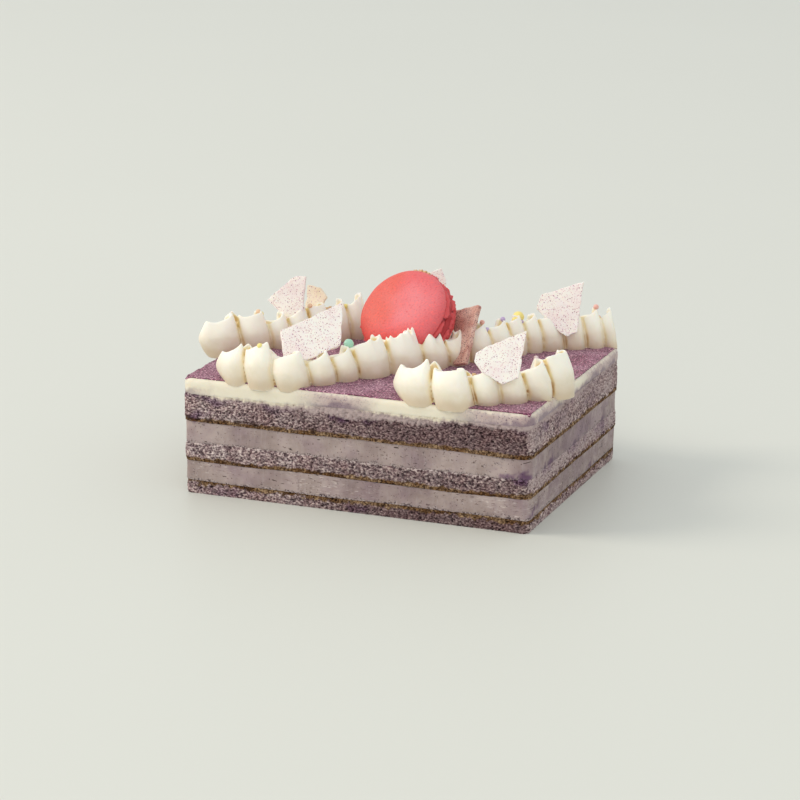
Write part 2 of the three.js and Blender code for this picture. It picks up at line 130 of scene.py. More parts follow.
def coordinates(piece: Object) -> np.ndarray:
    """Reads where the vertices of a piece are.

    Args:
        piece: the mesh.

    Returns:
        One row of coordinates in mm for each vertex.
    """
    flat = np.empty(len(piece.data.vertices) * 3)
    piece.data.vertices.foreach_get("co", flat)
    return flat.reshape(-1, 3) / MM


def move_vertices(piece: Object, points: np.ndarray) -> None:
    """Puts the vertices of a piece at the given places in mm."""
    piece.data.vertices.foreach_set("co", (points * MM).ravel())
    piece.data.update()


def paint(piece: Object, name: str, values: np.ndarray) -> None:
    """Stores one number for each vertex, which the piece's material reads.

    Args:
        piece: the mesh that gets the values.
        name: name of the attribute.
        values: one number for each vertex.
    """
    layer = piece.data.attributes.new(name, "FLOAT", "POINT")
    layer.data.foreach_set("value", np.asarray(values, np.float32))


def evened(piece: Object, values: np.ndarray, rounds: int) -> np.ndarray:
    """Averages the values of each vertex with those of its neighbours.

    Args:
        piece: the mesh.
        values: one row of numbers for each vertex.
        rounds: how many times it is done.

    Returns:
        The averaged values.
    """
    mesh = piece.data
    pairs = np.empty(len(mesh.edges) * 2, int)
    mesh.edges.foreach_get("vertices", pairs)
    first, second = pairs[::2], pairs[1::2]
    near = np.maximum(np.bincount(pairs, minlength=len(values)), 1)
    held = np.array(values, float)
    for _ in range(rounds):
        for axis in range(held.shape[1]):
            total = np.bincount(first, held[second, axis], len(held))
            total += np.bincount(second, held[first, axis], len(held))
            held[:, axis] = 0.5 * held[:, axis] + 0.5 * total / near
    return held


def normals_of(piece: Object) -> np.ndarray:
    """Reads which way the vertices of a piece face.

    Args:
        piece: the mesh.

    Returns:
        One unit vector for each vertex.
    """
    flat = np.empty(len(piece.data.vertices) * 3)
    piece.data.vertices.foreach_get("normal", flat)
    return flat.reshape(-1, 3)


def ridges(piece: Object, rounds: int) -> np.ndarray:
    """How far each vertex stands on a ridge of the surface, in mm, below zero in hollows."""
    points = coordinates(piece)
    return np.sum((points - evened(piece, points, rounds)) * normals_of(piece), axis=1)


def enclosed(piece: Object, reach: float) -> np.ndarray:
    """Share of the directions away from each vertex that soon meet the piece itself.

    Args:
        piece: the mesh.
        reach: how far is looked, in mm.

    Returns:
        A share from 0 to 1 for each vertex, high in creases.
    """
    lift, grazing = 0.25, 0.15
    tree = BVHTree.FromObject(piece, bpy.context.evaluated_depsgraph_get())
    corners = itertools.product((-1, 0, 1), repeat=3)
    ways = [Vector(way).normalized() for way in corners if sum(map(abs, way)) in (1, 3)]
    shares = np.zeros((len(piece.data.vertices), 1))
    for index, vertex in enumerate(piece.data.vertices):
        start = vertex.co + vertex.normal * (lift * MM)
        met = total = 0.0
        for way in ways:
            facing = vertex.normal.dot(way)
            if facing > grazing:
                total += facing
                if tree.ray_cast(start, way, reach * MM)[0] is not None:
                    met += facing
        shares[index] = met / max(total, grazing)
    return evened(piece, shares, rounds=4)[:, 0]


def start_piece(name: str, add: Callable[..., object], **settings: object) -> Object:
    """Adds a primitive as the only selected object and names it.

    Args:
        name: name of the new piece.
        add: the operator that adds the primitive.
        **settings: what the operator is given.

    Returns:
        The new object.
    """
    if bpy.context.object and bpy.context.object.mode != "OBJECT":
        bpy.ops.object.mode_set(mode="OBJECT")
    bpy.ops.object.select_all(action="DESELECT")
    add(**settings)
    piece = bpy.context.object
    piece.name = name
    piece.data.name = name
    return piece


def choose_edges(piece: Object, wanted: Callable[[Vector, Vector], bool]) -> int:
    """Selects edges of the piece in edit mode by the places of their two ends.

    Args:
        piece: the object in edit mode.
        wanted: says of the two ends of an edge whether it is chosen.

    Returns:
        The number of edges chosen.
    """
    bpy.ops.mesh.select_mode(type="EDGE")
    bpy.ops.mesh.select_all(action="DESELECT")
    mesh = bmesh.from_edit_mesh(piece.data)
    count = 0
    for edge in mesh.edges:
        if wanted(edge.verts[0].co, edge.verts[1].co):
            edge.select_set(True)
            count += 1
    bmesh.update_edit_mesh(piece.data)
    return count


def cut_edges(piece: Object, axis: int, shortest: float, grain: float) -> None:
    """Cuts the edges that lie along one axis into lengths of about a grain.

    Args:
        piece: the object in edit mode.
        axis: 0, 1 or 2 for X, Y or Z.
        shortest: edges under this length in mm are left alone.
        grain: wished length of the pieces in mm.
    """

    def along(a: Vector, b: Vector) -> bool:
        """Whether an edge lies along the axis and is long enough."""
        span = b - a
        return abs(span[axis]) > shortest * MM and abs(span[axis]) > STRAIGHT * span.length

    def along_cut(a: Vector, b: Vector) -> bool:
        """Whether an edge that may have been cut already lies along the axis."""
        return along(a, b) or abs((b - a)[axis]) > STRAIGHT * (b - a).length

    choose_edges(piece, along)
    mesh = bmesh.from_edit_mesh(piece.data)
    longest = max(edge.calc_length() for edge in mesh.edges if edge.select) / MM
    pieces = max(1, round(longest / grain))
    first = min(MOST_CUTS, math.ceil(math.sqrt(pieces)))
    bpy.ops.mesh.subdivide(number_cuts=first - 1)
    second = max(1, round(pieces / first))
    if second > 1:
        choose_edges(piece, along_cut)
        bpy.ops.mesh.subdivide(number_cuts=second - 1)


def leave_closed() -> None:
    """Turns the faces of the piece in edit mode outwards and leaves edit mode."""
    bpy.ops.mesh.select_all(action="SELECT")
    bpy.ops.mesh.normals_make_consistent(inside=False)
    bpy.ops.object.mode_set(mode="OBJECT")


def apply_modifier(piece: Object, kind: str, **settings: object) -> None:
    """Gives the piece one modifier and applies it.

    Args:
        piece: the object to change.
        kind: type of the modifier.
        **settings: its properties.
    """
    bpy.context.view_layer.objects.active = piece
    modifier = piece.modifiers.new(kind.lower(), kind)
    for key, value in settings.items():
        setattr(modifier, key, value)
    bpy.ops.object.modifier_apply(modifier=modifier.name)


@dataclass(frozen=True)
class Relief:
    """One pass of relief.

    Fields: the pattern, the size of its features and its depth in mm, the value of the pattern
    that stays in place, and how hard the pattern is.
    """

    pattern: Pattern
    size: float
    depth: float
    level: float = 0.5
    contrast: float = 1.0

    def carve(self, piece: Object, group: str = "") -> None:
        """Pushes the surface in and out along its normals.

        Args:
            piece: the object to change.
            group: vertex group that limits it, or nothing for the whole surface.
        """
        texture = bpy.data.textures.new(f"{piece.name}_relief", self.pattern.value)
        texture.noise_scale = self.size * MM
        texture.contrast = self.contrast
        apply_modifier(
            piece,
            "DISPLACE",
            texture=texture,
            texture_coords="LOCAL",
            strength=self.depth * MM,
            mid_level=self.level,
            vertex_group=group,
        )
        bpy.data.textures.remove(texture)


def hold(piece: Object, name: str, weights: np.ndarray) -> None:
    """Gives the piece a vertex group with one weight for each vertex.

    Args:
        piece: the object.
        name: name of the group.
        weights: numbers from 0 to 1, used in steps of a tenth.
    """
    group = piece.vertex_groups.new(name=name)
    steps = np.round(np.clip(weights, 0, 1) * 10).astype(int)
    for step in range(1, 11):
        members = np.flatnonzero(steps == step).tolist()
        if members:
            group.add(members, step / 10, "REPLACE")


def finish_piece(piece: Object, material: Material, nodes: Sequence[str]) -> Object:
    """Shades a piece smooth, gives it its material and ties it to the cake.

    Args:
        piece: the finished mesh.
        material: what it is made of.
        nodes: the solids that it stands for.

    Returns:
        The piece.
    """
    bpy.ops.object.select_all(action="DESELECT")
    piece.select_set(True)
    bpy.context.view_layer.objects.active = piece
    bpy.ops.object.shade_smooth_by_angle(angle=math.radians(SMOOTH_UNDER))
    piece.data.materials.clear()
    piece.data.materials.append(material)
    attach(piece, "root")
    if nodes:
        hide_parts(*nodes)
    LOG.info("%s: %d faces", piece.name, len(piece.data.polygons))
    return piece


def add_node(
    tree: NodeTree,
    kind: str,
    settings: dict[str, object] | None = None,
    links: dict[str, NodeSocket] | None = None,
) -> Node:
    """Adds a node to a material with its settings and links.

    Args:
        tree: the material's node tree.
        kind: the node's type name without its prefix ShaderNode.
        settings: properties of the node, or values of its inputs by their names or numbers.
        links: what feeds an input, by the input's name or number.

    Returns:
        The new node.
    """
    node = tree.nodes.new("ShaderNode" + kind)
    for key, value in (settings or {}).items():
        if isinstance(key, str) and hasattr(node, key):
            setattr(node, key, value)
        else:
            node.inputs[key].default_value = value
    for key, source in (links or {}).items():
        tree.links.new(source, node.inputs[key])
    return node


@dataclass(frozen=True)
class Finish:
    """What every finish shares: a name, how rough it is and how much light passes through it."""

    name: str
    roughness: float = 0.6
    scatter: float = 0.0
    scatter_mm: float = 1.5
    scatter_tint: tuple[float, float, float] = (1.0, 0.75, 0.5)
    specular: float = 0.35
    sheen: float = 0.0

    def begin(self) -> tuple[Material, NodeTree, Node, NodeSocket]:
        """Makes the material with its shader.

        Returns:
            The material, its tree, the shader node and the coordinates that patterns read.
        """
        material = bpy.data.materials.new(self.name)
        material.use_nodes = True
        tree = material.node_tree
        tree.nodes.clear()
        shader = add_node(
            tree,
            "BsdfPrincipled",
            {
                "Roughness": self.roughness,
                "Subsurface Weight": self.scatter,
                "Subsurface Radius": self.scatter_tint,
                "Subsurface Scale": self.scatter_mm * MM,
                "Specular IOR Level": self.specular,
                "Sheen Weight": self.sheen,
                "Sheen Roughness": 0.6,
            },
        )
        output = add_node(tree, "OutputMaterial")
        tree.links.new(shader.outputs[0], output.inputs[0])
        place = add_node(tree, "TexCoord").outputs["Object"]
        return material, tree, shader, place


def noise(tree: NodeTree, place: NodeSocket, size: float, detail: float = 2.0) -> NodeSocket:
    """Cloudy noise whose features have a real size.

    Args:
        tree: the material's node tree.
        place: coordinates in metres.
        size: feature size in mm.
        detail: number of finer layers.

    Returns:
        The noise value from 0 to 1.
    """
    settings = {"Scale": 1 / (size * MM), "Detail": detail, "Roughness": 0.6}
    return add_node(tree, "TexNoise", settings, {"Vector": place}).outputs[0]


def band(tree: NodeTree, value: NodeSocket, stops: Sequence[tuple[float, str]]) -> NodeSocket:
    """Turns a value into a colour by a row of stops.

    Args:
        tree: the material's node tree.
        value: number from 0 to 1.
        stops: places from 0 to 1 with their sRGB hex colours, in rising order.

    Returns:
        The colour.
    """
    ramp = add_node(tree, "ValToRGB", links={"Fac": value})
    elements = ramp.color_ramp.elements
    while len(elements) < len(stops):
        elements.new(0.5)
    for element, (position, colour) in zip(elements, stops, strict=True):
        element.position = position
        element.color = linear(colour)
    return ramp.outputs[0]


def blend(
    tree: NodeTree,
    share: NodeSocket,
    low: NodeSocket | str,
    high: NodeSocket | str,
    kind: str = "MIX",
) -> NodeSocket:
    """Mixes two colours.

    Args:
        tree: the material's node tree.
        share: how much of the second one shows, from 0 to 1.
        low: the first colour, as a link or as sRGB hex.
        high: the second one.
        kind: blend type.

    Returns:
        The mixed colour.
    """
    node = add_node(tree, "Mix", {"data_type": "RGBA", "blend_type": kind}, {0: share})
    for number, source in ((6, low), (7, high)):
        if isinstance(source, str):
            node.inputs[number].default_value = linear(source)
        else:
            tree.links.new(source, node.inputs[number])
    return node.outputs[2]


def stretch(tree: NodeTree, value: NodeSocket, low: float, high: float) -> NodeSocket:
    """Spreads a value so that low becomes 0 and high becomes 1, and holds it there.

    Args:
        tree: the material's node tree.
        value: the number.
        low: what becomes 0.
        high: what becomes 1.

    Returns:
        The spread value.
    """
    settings = {"From Min": low, "From Max": high, "clamp": True}
    return add_node(tree, "MapRange", settings, {"Value": value}).outputs[0]


def attribute(tree: NodeTree, name: str) -> NodeSocket:
    """Reads a number stored on the vertices."""
    return add_node(tree, "Attribute", {"attribute_name": name}).outputs["Fac"]


def dent(
    tree: NodeTree,
    shader: Node,
    height: NodeSocket,
    depth: float,
    strength: float = 1.0,
) -> None:
    """Gives the shader fine relief from a height.

    Args:
        tree: the material's node tree.
        shader: the shader node.
        height: height from 0 to 1.
        depth: depth of the relief in mm.
        strength: how much of it shows.
    """
    settings = {"Distance": depth * MM, "Strength": strength}
    bump = add_node(tree, "Bump", settings, {"Height": height})
    tree.links.new(bump.outputs[0], shader.inputs["Normal"])


@dataclass(frozen=True)
class TaroSponge(Finish):
    """Whisked sponge coloured with taro and cut with a knife.

    The cut opens thousands of small air cells, so it is matt and salt-and-pepper grey violet. The
    shade inside the cells, pits and holes is painted dark, and so is shade towards the right of the
    front. The baked face stays as a thin brown skin, and taro paste stains it violet here and there.
    """

    # painted shade inside the open cells, pits and holes of the cut
    hole_shade: str = "#30222a"
    dark: str = "#5c4b4e"
    body: str = "#8f7d7f"
    light: str = "#b8a6a5"
    pale: str = "#e2d4ce"
    stain: str = "#a188b0"
    skin_dark: str = "#38271d"
    skin_body: str = "#7c624a"
    skin_light: str = "#b39776"
    toasted: str = "#b7a48f"
    # painted shade inside the holes along the brown skin
    skin_hole_shade: str = "#35221a"
    rubbed: str = "#c9bab7"
    veil: str = "#b3a19f"
    smeared: str = "#e2d8c3"
    # painted shade laid over the cut faces towards the right of the front
    shade: str = "#b5aaac"
    cell_mm: float = 1.4
    grain_mm: float = 0.95
    pore_patch_mm: float = 2.2
    patch_mm: float = 9.0
    skin_grain_mm: float = 0.9
    bake_mm: float = 7.0

    def make(self) -> Material:
        """Builds the material.

        Returns:
            The material.
        """
        material, tree, shader, place = self.begin()
        flattened = {"Scale": (0.85, 0.85, 1.3)}
        pressed = add_node(tree, "Mapping", flattened, {"Vector": place}).outputs[0]
        grain = noise(tree, pressed, self.grain_mm, 2)
        crumb = band(
            tree,
            grain,
            [(0.35, self.dark), (0.46, self.body), (0.55, self.light), (0.66, self.pale)],
        )
        # painted shade: a cell pattern paints the open air cells near black, the shade inside them
        cells = add_node(
            tree, "TexVoronoi", {"Scale": 1 / (self.cell_mm * MM)}, {"Vector": place}
        ).outputs["Distance"]
        pore_shade = blend(tree, stretch(tree, cells, 0.4, 0.15), crumb, self.hole_shade)
        some = stretch(tree, noise(tree, place, self.pore_patch_mm, 1), 0.45, 0.62)
        crumb = blend(tree, some, crumb, pore_shade)
        # painted shade: pits carved into the side are darkened by how deep they go
        pit_shade = stretch(tree, attribute(tree, "depth"), -0.15, -0.9)
        crumb = blend(tree, pit_shade, crumb, self.hole_shade)
        patches = stretch(tree, noise(tree, place, self.patch_mm, 3), 0.35, 0.7)
        milder = blend(tree, grain, self.body, self.light)
        crumb = blend(tree, patches, crumb, milder, "SOFT_LIGHT")
        # painted shade: the cut faces darken towards the right of the front, where less lamp light fell
        crumb = blend(tree, attribute(tree, "right_shade"), crumb, self.shade, "MULTIPLY")
        rubbed = blend(tree, stretch(tree, grain, 0.4, 0.6), crumb, self.rubbed)
        crumb = blend(tree, attribute(tree, "rubbed"), crumb, rubbed)
        skin = band(
            tree,
            noise(tree, place, self.skin_grain_mm, 2),
            [(0.34, self.skin_dark), (0.5, self.skin_body), (0.66, self.skin_light)],
        )
        baked = stretch(tree, noise(tree, place, self.bake_mm, 2), 0.4, 0.6)
        skin = blend(tree, baked, skin, self.toasted, "MULTIPLY")
        crumb = blend(tree, attribute(tree, "skin"), crumb, skin)
        # painted shade: holes along the skin are painted near black
        crumb = blend(tree, attribute(tree, "skin_hole_shade"), crumb, self.skin_hole_shade)
        crumb = blend(tree, attribute(tree, "stain"), crumb, self.stain, "MULTIPLY")
        for name, tone, full in (("veil", self.veil, 1.35), ("smear", self.smeared, 1.2)):
            settings = {"operation": "MULTIPLY_ADD", 1: 0.95}
            broken = add_node(tree, "Math", settings, {0: grain, 2: attribute(tree, name)}).outputs[0]
            crumb = blend(tree, stretch(tree, broken, 0.62, full), crumb, tone)
        tree.links.new(crumb, shader.inputs["Base Color"])
        dent(tree, shader, grain, 0.5, 0.8)
        return material


@dataclass(frozen=True)
class LilacMousse(Finish):
    """Set taro mousse, wiped smooth by the knife: pale grey lilac, a little glossy and translucent,
    with small slits where air was trapped, painted near black as the shade inside them, and crumbs
    dragged along by the blade."""

    body: str = "#9b8a85"
    light: str = "#b2a19d"
    # painted shade inside the slits
    slit_shade: str = "#43342f"
    crumb: str = "#6f5c5a"
    pale: str = "#b0a29e"
    dash: str = "#cdc0bb"
    violet: str = "#dad0de"
    stain: str = "#a588b4"
    grain_dark: str = "#46363a"
    grain_light: str = "#b5a5a3"
    cloud_mm: float = 14.0
    streak_mm: float = 1.6
    slit_mm: float = 1.5
    speck_mm: float = 0.9
    tint_mm: float = 16.0
    dash_mm: float = 1.1
    grain_mm: float = 0.7
    ripple_mm: float = 1.2

    def make(self) -> Material:
        """Builds the material.

        Returns:
            The material.
        """
        material, tree, shader, place = self.begin()
        cloud = noise(tree, place, self.cloud_mm, 4)
        colour = band(tree, cloud, [(0.38, self.body), (0.62, self.light)])
        upright, level = {"Scale": (1.0, 1.0, 0.15)}, {"Scale": (0.35, 0.35, 1.6)}
        drawn = add_node(tree, "Mapping", upright, {"Vector": place}).outputs[0]
        streaks = stretch(tree, noise(tree, drawn, self.streak_mm, 2), 0.5, 0.9)
        colour = blend(tree, streaks, colour, self.pale)
        flat = add_node(tree, "Mapping", level, {"Vector": place}).outputs[0]
        # painted shade: the slits are painted near black, the shade inside them
        slit_shade = stretch(tree, noise(tree, flat, self.slit_mm, 1), 0.285, 0.245)
        colour = blend(tree, slit_shade, colour, self.slit_shade)
        specks = stretch(tree, noise(tree, place, self.speck_mm, 1), 0.66, 0.74)
        colour = blend(tree, specks, colour, self.crumb)
        tinted = stretch(tree, noise(tree, place, self.tint_mm, 3), 0.42, 0.72)
        colour = blend(tree, tinted, colour, self.violet, "MULTIPLY")
        long = noise(tree, flat, self.dash_mm, 2)
        rubbed = attribute(tree, "rubbed")
        for tone, low, high in ((self.dash, 0.6, 0.7), (self.crumb, 0.38, 0.3)):
            marks = stretch(tree, long, low, high)
            mask = add_node(tree, "Math", {"operation": "MULTIPLY"}, {0: marks, 1: rubbed}).outputs[0]
            colour = blend(tree, mask, colour, tone)
        grain = noise(tree, place, self.grain_mm, 2)
        grain = band(tree, grain, [(0.4, self.grain_dark), (0.6, self.grain_light)])
        colour = blend(tree, attribute(tree, "dirty"), colour, grain)
        colour = blend(tree, attribute(tree, "stain"), colour, self.stain, "MULTIPLY")
        tree.links.new(colour, shader.inputs["Base Color"])
        dent(tree, shader, noise(tree, place, self.ripple_mm, 3), 0.3, 0.6)
        return material


@dataclass(frozen=True)
class ToppingCream(Finish):
    """White cream spread over the cake and trimmed flush with its sides.

    It is warm white where piped cream was stroked down over the edge, and greyish lilac where it
    is thin or rubbed with sponge.
    """

    warm: str = "#e9e1cd"
    lilac: str = "#b19b99"
    pale: str = "#cbb9b4"
    stain: str = "#7d6a78"
    cloud_mm: float = 6.0
    speck_mm: float = 0.8
    ripple_mm: float = 2.5

    def make(self) -> Material:
        """Builds the material.

        Returns:
            The material.
        """
        material, tree, shader, place = self.begin()
        cloud = stretch(tree, noise(tree, place, self.cloud_mm, 3), 0.3, 0.7)
        lilac = blend(tree, cloud, self.lilac, self.pale)
        fine = stretch(tree, noise(tree, place, self.speck_mm, 2), 0.55, 0.7)
        lilac = blend(tree, fine, lilac, self.stain)
        lilac = blend(tree, attribute(tree, "stain"), lilac, self.stain)
        colour = blend(tree, attribute(tree, "smear"), lilac, self.warm)
        tree.links.new(colour, shader.inputs["Base Color"])
        dent(tree, shader, noise(tree, place, self.ripple_mm, 3), 0.35, 0.5)
        return material


@dataclass(frozen=True)
class TaroPowder(Finish):
    """Freeze-dried taro powder sifted on the cream: loose violet pink grains, some deep purple and some
    pale, the pale ones partly standing in for painted glints off the grains."""

    deep: str = "#573044"
    body: str = "#8f5873"
    pale: str = "#b9859b"
    # pale grains that partly stand in for painted glints
    pale_grain_and_glint: str = "#f6dedd"
    grain_mm: float = 0.75
    drift_mm: float = 12.0

    def make(self) -> Material:
        """Builds the material.

        Returns:
            The material.
        """
        material, tree, shader, place = self.begin()
        grain = noise(tree, place, self.grain_mm, 1)
        colour = band(
            tree,
            grain,
            [(0.32, self.deep), (0.46, self.body), (0.6, self.pale), (0.76, self.pale_grain_and_glint)],
        )
        drift = stretch(tree, noise(tree, place, self.drift_mm, 2), 0.3, 0.7)
        deeper = blend(tree, grain, self.deep, self.body)
        colour = blend(tree, drift, colour, deeper, "SOFT_LIGHT")
        tree.links.new(colour, shader.inputs["Base Color"])
        dent(tree, shader, grain, 0.5)
        return material


@dataclass(frozen=True)
class WhippedCream(Finish):
    """Whipped cream pressed through a petal nozzle: ivory white, satin and a little translucent. Its thin
    rims and upper parts carry a painted highlight, its hollows a painted warm glow, and its creases and
    lower parts painted shade."""

    body: str = "#e8dec9"
    ivory: str = "#eee5d4"
    # painted light: warm glow for hollows, shade for creases and lower parts, highlight for rims and
    # upper parts
    warm: str = "#ead6a0"
    deep: str = "#a87038"
    low: str = "#d6c3a8"
    thin: str = "#fffcf0"
    cloud_mm: float = 5.0
    ripple_mm: float = 0.9

    def make(self) -> Material:
        """Builds the material.

        Returns:
            The material.
        """
        material, tree, shader, place = self.begin()
        cloud = stretch(tree, noise(tree, place, self.cloud_mm, 2), 0.35, 0.65)
        colour = blend(tree, cloud, self.body, self.ivory)
        # painted light: highlight on the upper parts and rims, warm glow in the hollows, shade in the
        # creases and lower parts
        for name, tone in (
            ("low", self.low),
            ("high", self.thin),
            ("hollow", self.warm),
            ("crease", self.deep),
            ("rim", self.thin),
        ):
            colour = blend(tree, attribute(tree, name), colour, tone)
        tree.links.new(colour, shader.inputs["Base Color"])
        dent(tree, shader, noise(tree, place, self.ripple_mm, 2), 0.06, 0.5)
        return material


@dataclass(frozen=True)
class MacaronShell(Finish):
    """Baked almond meringue coloured coral pink: a thin satin skin with almond grain under it,
    over a foot of torn bubbles."""

    body: str = "#df696e"
    # warmer coral painted on the side towards the lamp, as painted light
    coral: str = "#dc6459"
    pale: str = "#e68d93"
    # pale pink of the painted highlight
    deep: str = "#d9585b"
    # deep red of the painted shade on the lower part
    low: str = "#d44a44"
    grain_light: str = "#ffb3a8"
    grain_dark: str = "#a8504c"
    # painted shade inside the pits of the foot
    pit_shade_tone: str = "#7c2229"
    grain_mm: float = 0.8

    def make(self) -> Material:
        """Builds the material.

        Returns:
            The material.
        """
        material, tree, shader, place = self.begin()
        # painted light: the shell's left side, towards the lamp, is tinted a warmer coral
        colour = blend(tree, attribute(tree, "coral"), self.body, self.coral)
        grain = noise(tree, place, self.grain_mm, 2)
        # painted highlight: a pale patch to the upper right of the dome
        colour = blend(tree, attribute(tree, "painted_highlight"), colour, self.pale)
        # painted shade: the lower part of the shell is painted deeper red
        colour = blend(tree, attribute(tree, "low"), colour, self.low)
        light = stretch(tree, grain, 0.5, 0.75)
        colour = blend(tree, light, colour, self.grain_light, "SOFT_LIGHT")
        dark = stretch(tree, grain, 0.42, 0.22)
        colour = blend(tree, dark, colour, self.grain_dark, "SOFT_LIGHT")
        colour = blend(tree, attribute(tree, "foot"), colour, self.deep)
        # painted shade: the foot's pits are darkened by how deep they go
        pit_shade = stretch(tree, attribute(tree, "depth"), -0.45, -1.0)
        colour = blend(tree, pit_shade, colour, self.pit_shade_tone)
        tree.links.new(colour, shader.inputs["Base Color"])
        dent(tree, shader, grain, 0.2, 0.8)
        return material


@dataclass(frozen=True)
class MacaronFilling(Finish):
    """Soft red filling pressed between the two shells."""

    body: str = "#b03d44"
    bright: str = "#c9484b"
    pulp_mm: float = 1.2
    ripple_mm: float = 1.0

    def make(self) -> Material:
        """Builds the material.

        Returns:
            The material.
        """
        material, tree, shader, place = self.begin()
        colour = blend(tree, noise(tree, place, self.pulp_mm, 2), self.body, self.bright)
        tree.links.new(colour, shader.inputs["Base Color"])
        dent(tree, shader, noise(tree, place, self.ripple_mm, 2), 0.3, 0.6)
        return material


@dataclass(frozen=True)
class SpeckledChocolate(Finish):
    """White chocolate cast thin and snapped, full of freeze-dried taro and berry specks: warm white
    with a pink haze, and fine purple dots of two sizes."""

    body: str = "#fdf8f0"
    haze: str = "#f8ebe8"
    dot: str = "#a66f83"
    fine_dot: str = "#dcb4bc"
    dots_mm: float = 0.9
    fine_mm: float = 0.55
    haze_mm: float = 8.0
    ripple_mm: float = 0.8
    density: float = 0.45

    def make(self) -> Material:
        """Builds the material.

        Returns:
            The material.
        """
        material, tree, shader, place = self.begin()
        haze = stretch(tree, noise(tree, place, self.haze_mm, 2), 0.38, 0.68)
        colour = blend(tree, haze, self.body, self.haze)
        for size, tone, share, reach in (
            (self.fine_mm, self.fine_dot, self.density, 0.42),
            (self.dots_mm, self.dot, self.density * 0.8, 0.34),
        ):
            cells = add_node(tree, "TexVoronoi", {"Scale": 1 / (size * MM)}, {"Vector": place})
            picked = add_node(tree, "SeparateColor", links={0: cells.outputs["Color"]}).outputs[0]
            chosen = stretch(tree, picked, share + 0.02, share - 0.02)
            spot = stretch(tree, cells.outputs["Distance"], reach, reach - 0.16)
            mask = add_node(tree, "Math", {"operation": "MULTIPLY"}, {0: chosen, 1: spot}).outputs[0]
            colour = blend(tree, mask, colour, tone)
        tree.links.new(colour, shader.inputs["Base Color"])
        dent(tree, shader, noise(tree, place, self.ripple_mm, 2), 0.12, 0.5)
        return material


@dataclass(frozen=True)
class SugarPearl(Finish):
    """A rolled sugar pearl: one pastel colour with a hard satin glaze and painted white glints."""

    body: str = "#ffffff"
    glint: str = "#ffffff"
    cloud_mm: float = 0.8
    glint_mm: float = 2.0

    def make(self) -> Material:
        """Builds the material.

        Returns:
            The material.
        """
        material, tree, shader, place = self.begin()
        # painted highlight: white glints in patches over the pearl's colour
        bright = blend(tree, noise(tree, place, self.cloud_mm, 1), self.body, self.glint)
        some = stretch(tree, noise(tree, place, self.glint_mm, 1), 0.75, 0.9)
        colour = blend(tree, some, self.body, bright)
        tree.links.new(colour, shader.inputs["Base Color"])
        return material


@dataclass(frozen=True)
class BakedCrumb(Finish):
    """Small toasted crumbs, golden brown and rough."""

    body: str = "#c79c6b"
    pale: str = "#e6cda6"
    grain_mm: float = 0.8
    ripple_mm: float = 0.5

    def make(self) -> Material:
        """Builds the material.

        Returns:
            The material.
        """
        material, tree, shader, place = self.begin()
        colour = blend(tree, noise(tree, place, self.grain_mm, 2), self.body, self.pale)
        tree.links.new(colour, shader.inputs["Base Color"])
        dent(tree, shader, noise(tree, place, self.ripple_mm, 2), 0.2)
        return material


@dataclass(frozen=True)
class Plan:
    """The cake's body: a rectangle with rounded upright corners, in mm, and its wavy borders."""

    length: float = 155.6
    depth: float = 123.4
    height: float = 50.4
    wave: float = 0.21
    wave_long: float = 17.0
    wave_short: float = 7.3
    wave_across: float = 11.0
    short_share: float = 0.6
    topping_bottom: float = 44.8
    topping_slope: float = 1.0

    def inside(self, points: np.ndarray, inset: float = 0.0, corner: float = 5.0) -> np.ndarray:
        """Distance of points to the edge of the plan, counted inwards.

        Args:
            points: one row of coordinates for each point, in mm.
            inset: how far the sides are drawn in.
            corner: radius of the upright corners.

        Returns:
            One distance in mm for each point.
        """
        across = np.abs(points[:, 0]) - (self.length / 2 - inset - corner)
        along = np.abs(points[:, 1]) - (self.depth / 2 - inset - corner)
        beyond = np.hypot(np.maximum(across, 0), np.maximum(along, 0))
        return corner - beyond - np.minimum(np.maximum(across, along), 0)

    def outward(self, points: np.ndarray, inset: float, corner: float) -> np.ndarray:
        """Horizontal directions that point out of the nearest side.

        Args:
            points: one row of coordinates for each point, in mm.
            inset: how far the sides are drawn in.
            corner: radius of the upright corners.

        Returns:
            One unit vector for each point.
        """
        across = np.abs(points[:, 0]) - (self.length / 2 - inset - corner)
        along = np.abs(points[:, 1]) - (self.depth / 2 - inset - corner)
        both = (across > 0) & (along > 0)
        first = np.where(both, across, (across > along).astype(float))
        second = np.where(both, along, (across <= along).astype(float))
        size = np.maximum(np.hypot(first, second), 1e-9)
        return np.stack(
            [np.sign(points[:, 0]) * first / size, np.sign(points[:, 1]) * second / size], axis=1
        )

    def border(self, level: float, points: np.ndarray) -> np.ndarray:
        """Height of the border between two layers over points of the plan.

        Args:
            level: height of the border without its waves, in mm.
            points: one row of coordinates for each point, in mm.

        Returns:
            One height in mm for each point.
        """
        if level in (0, self.height):
            return np.full(len(points), float(level))
        x, y = points[:, 0], points[:, 1]
        slow = np.sin(x / self.wave_long + level)
        quick = np.sin(x / self.wave_short + y / self.wave_across + 2 * level)
        slope = self.topping_slope * x / (self.length / 2) if level == self.topping_bottom else 0
        return level + self.wave * (slow + self.short_share * quick) + slope


PLAN = Plan()


@dataclass(frozen=True)
class Spot:
    """A blotch on the cake's sides: where it is, and its reach across and up, in mm."""

    at: tuple[float, float, float]
    across: float
    up: float
    strength: float = 1.0


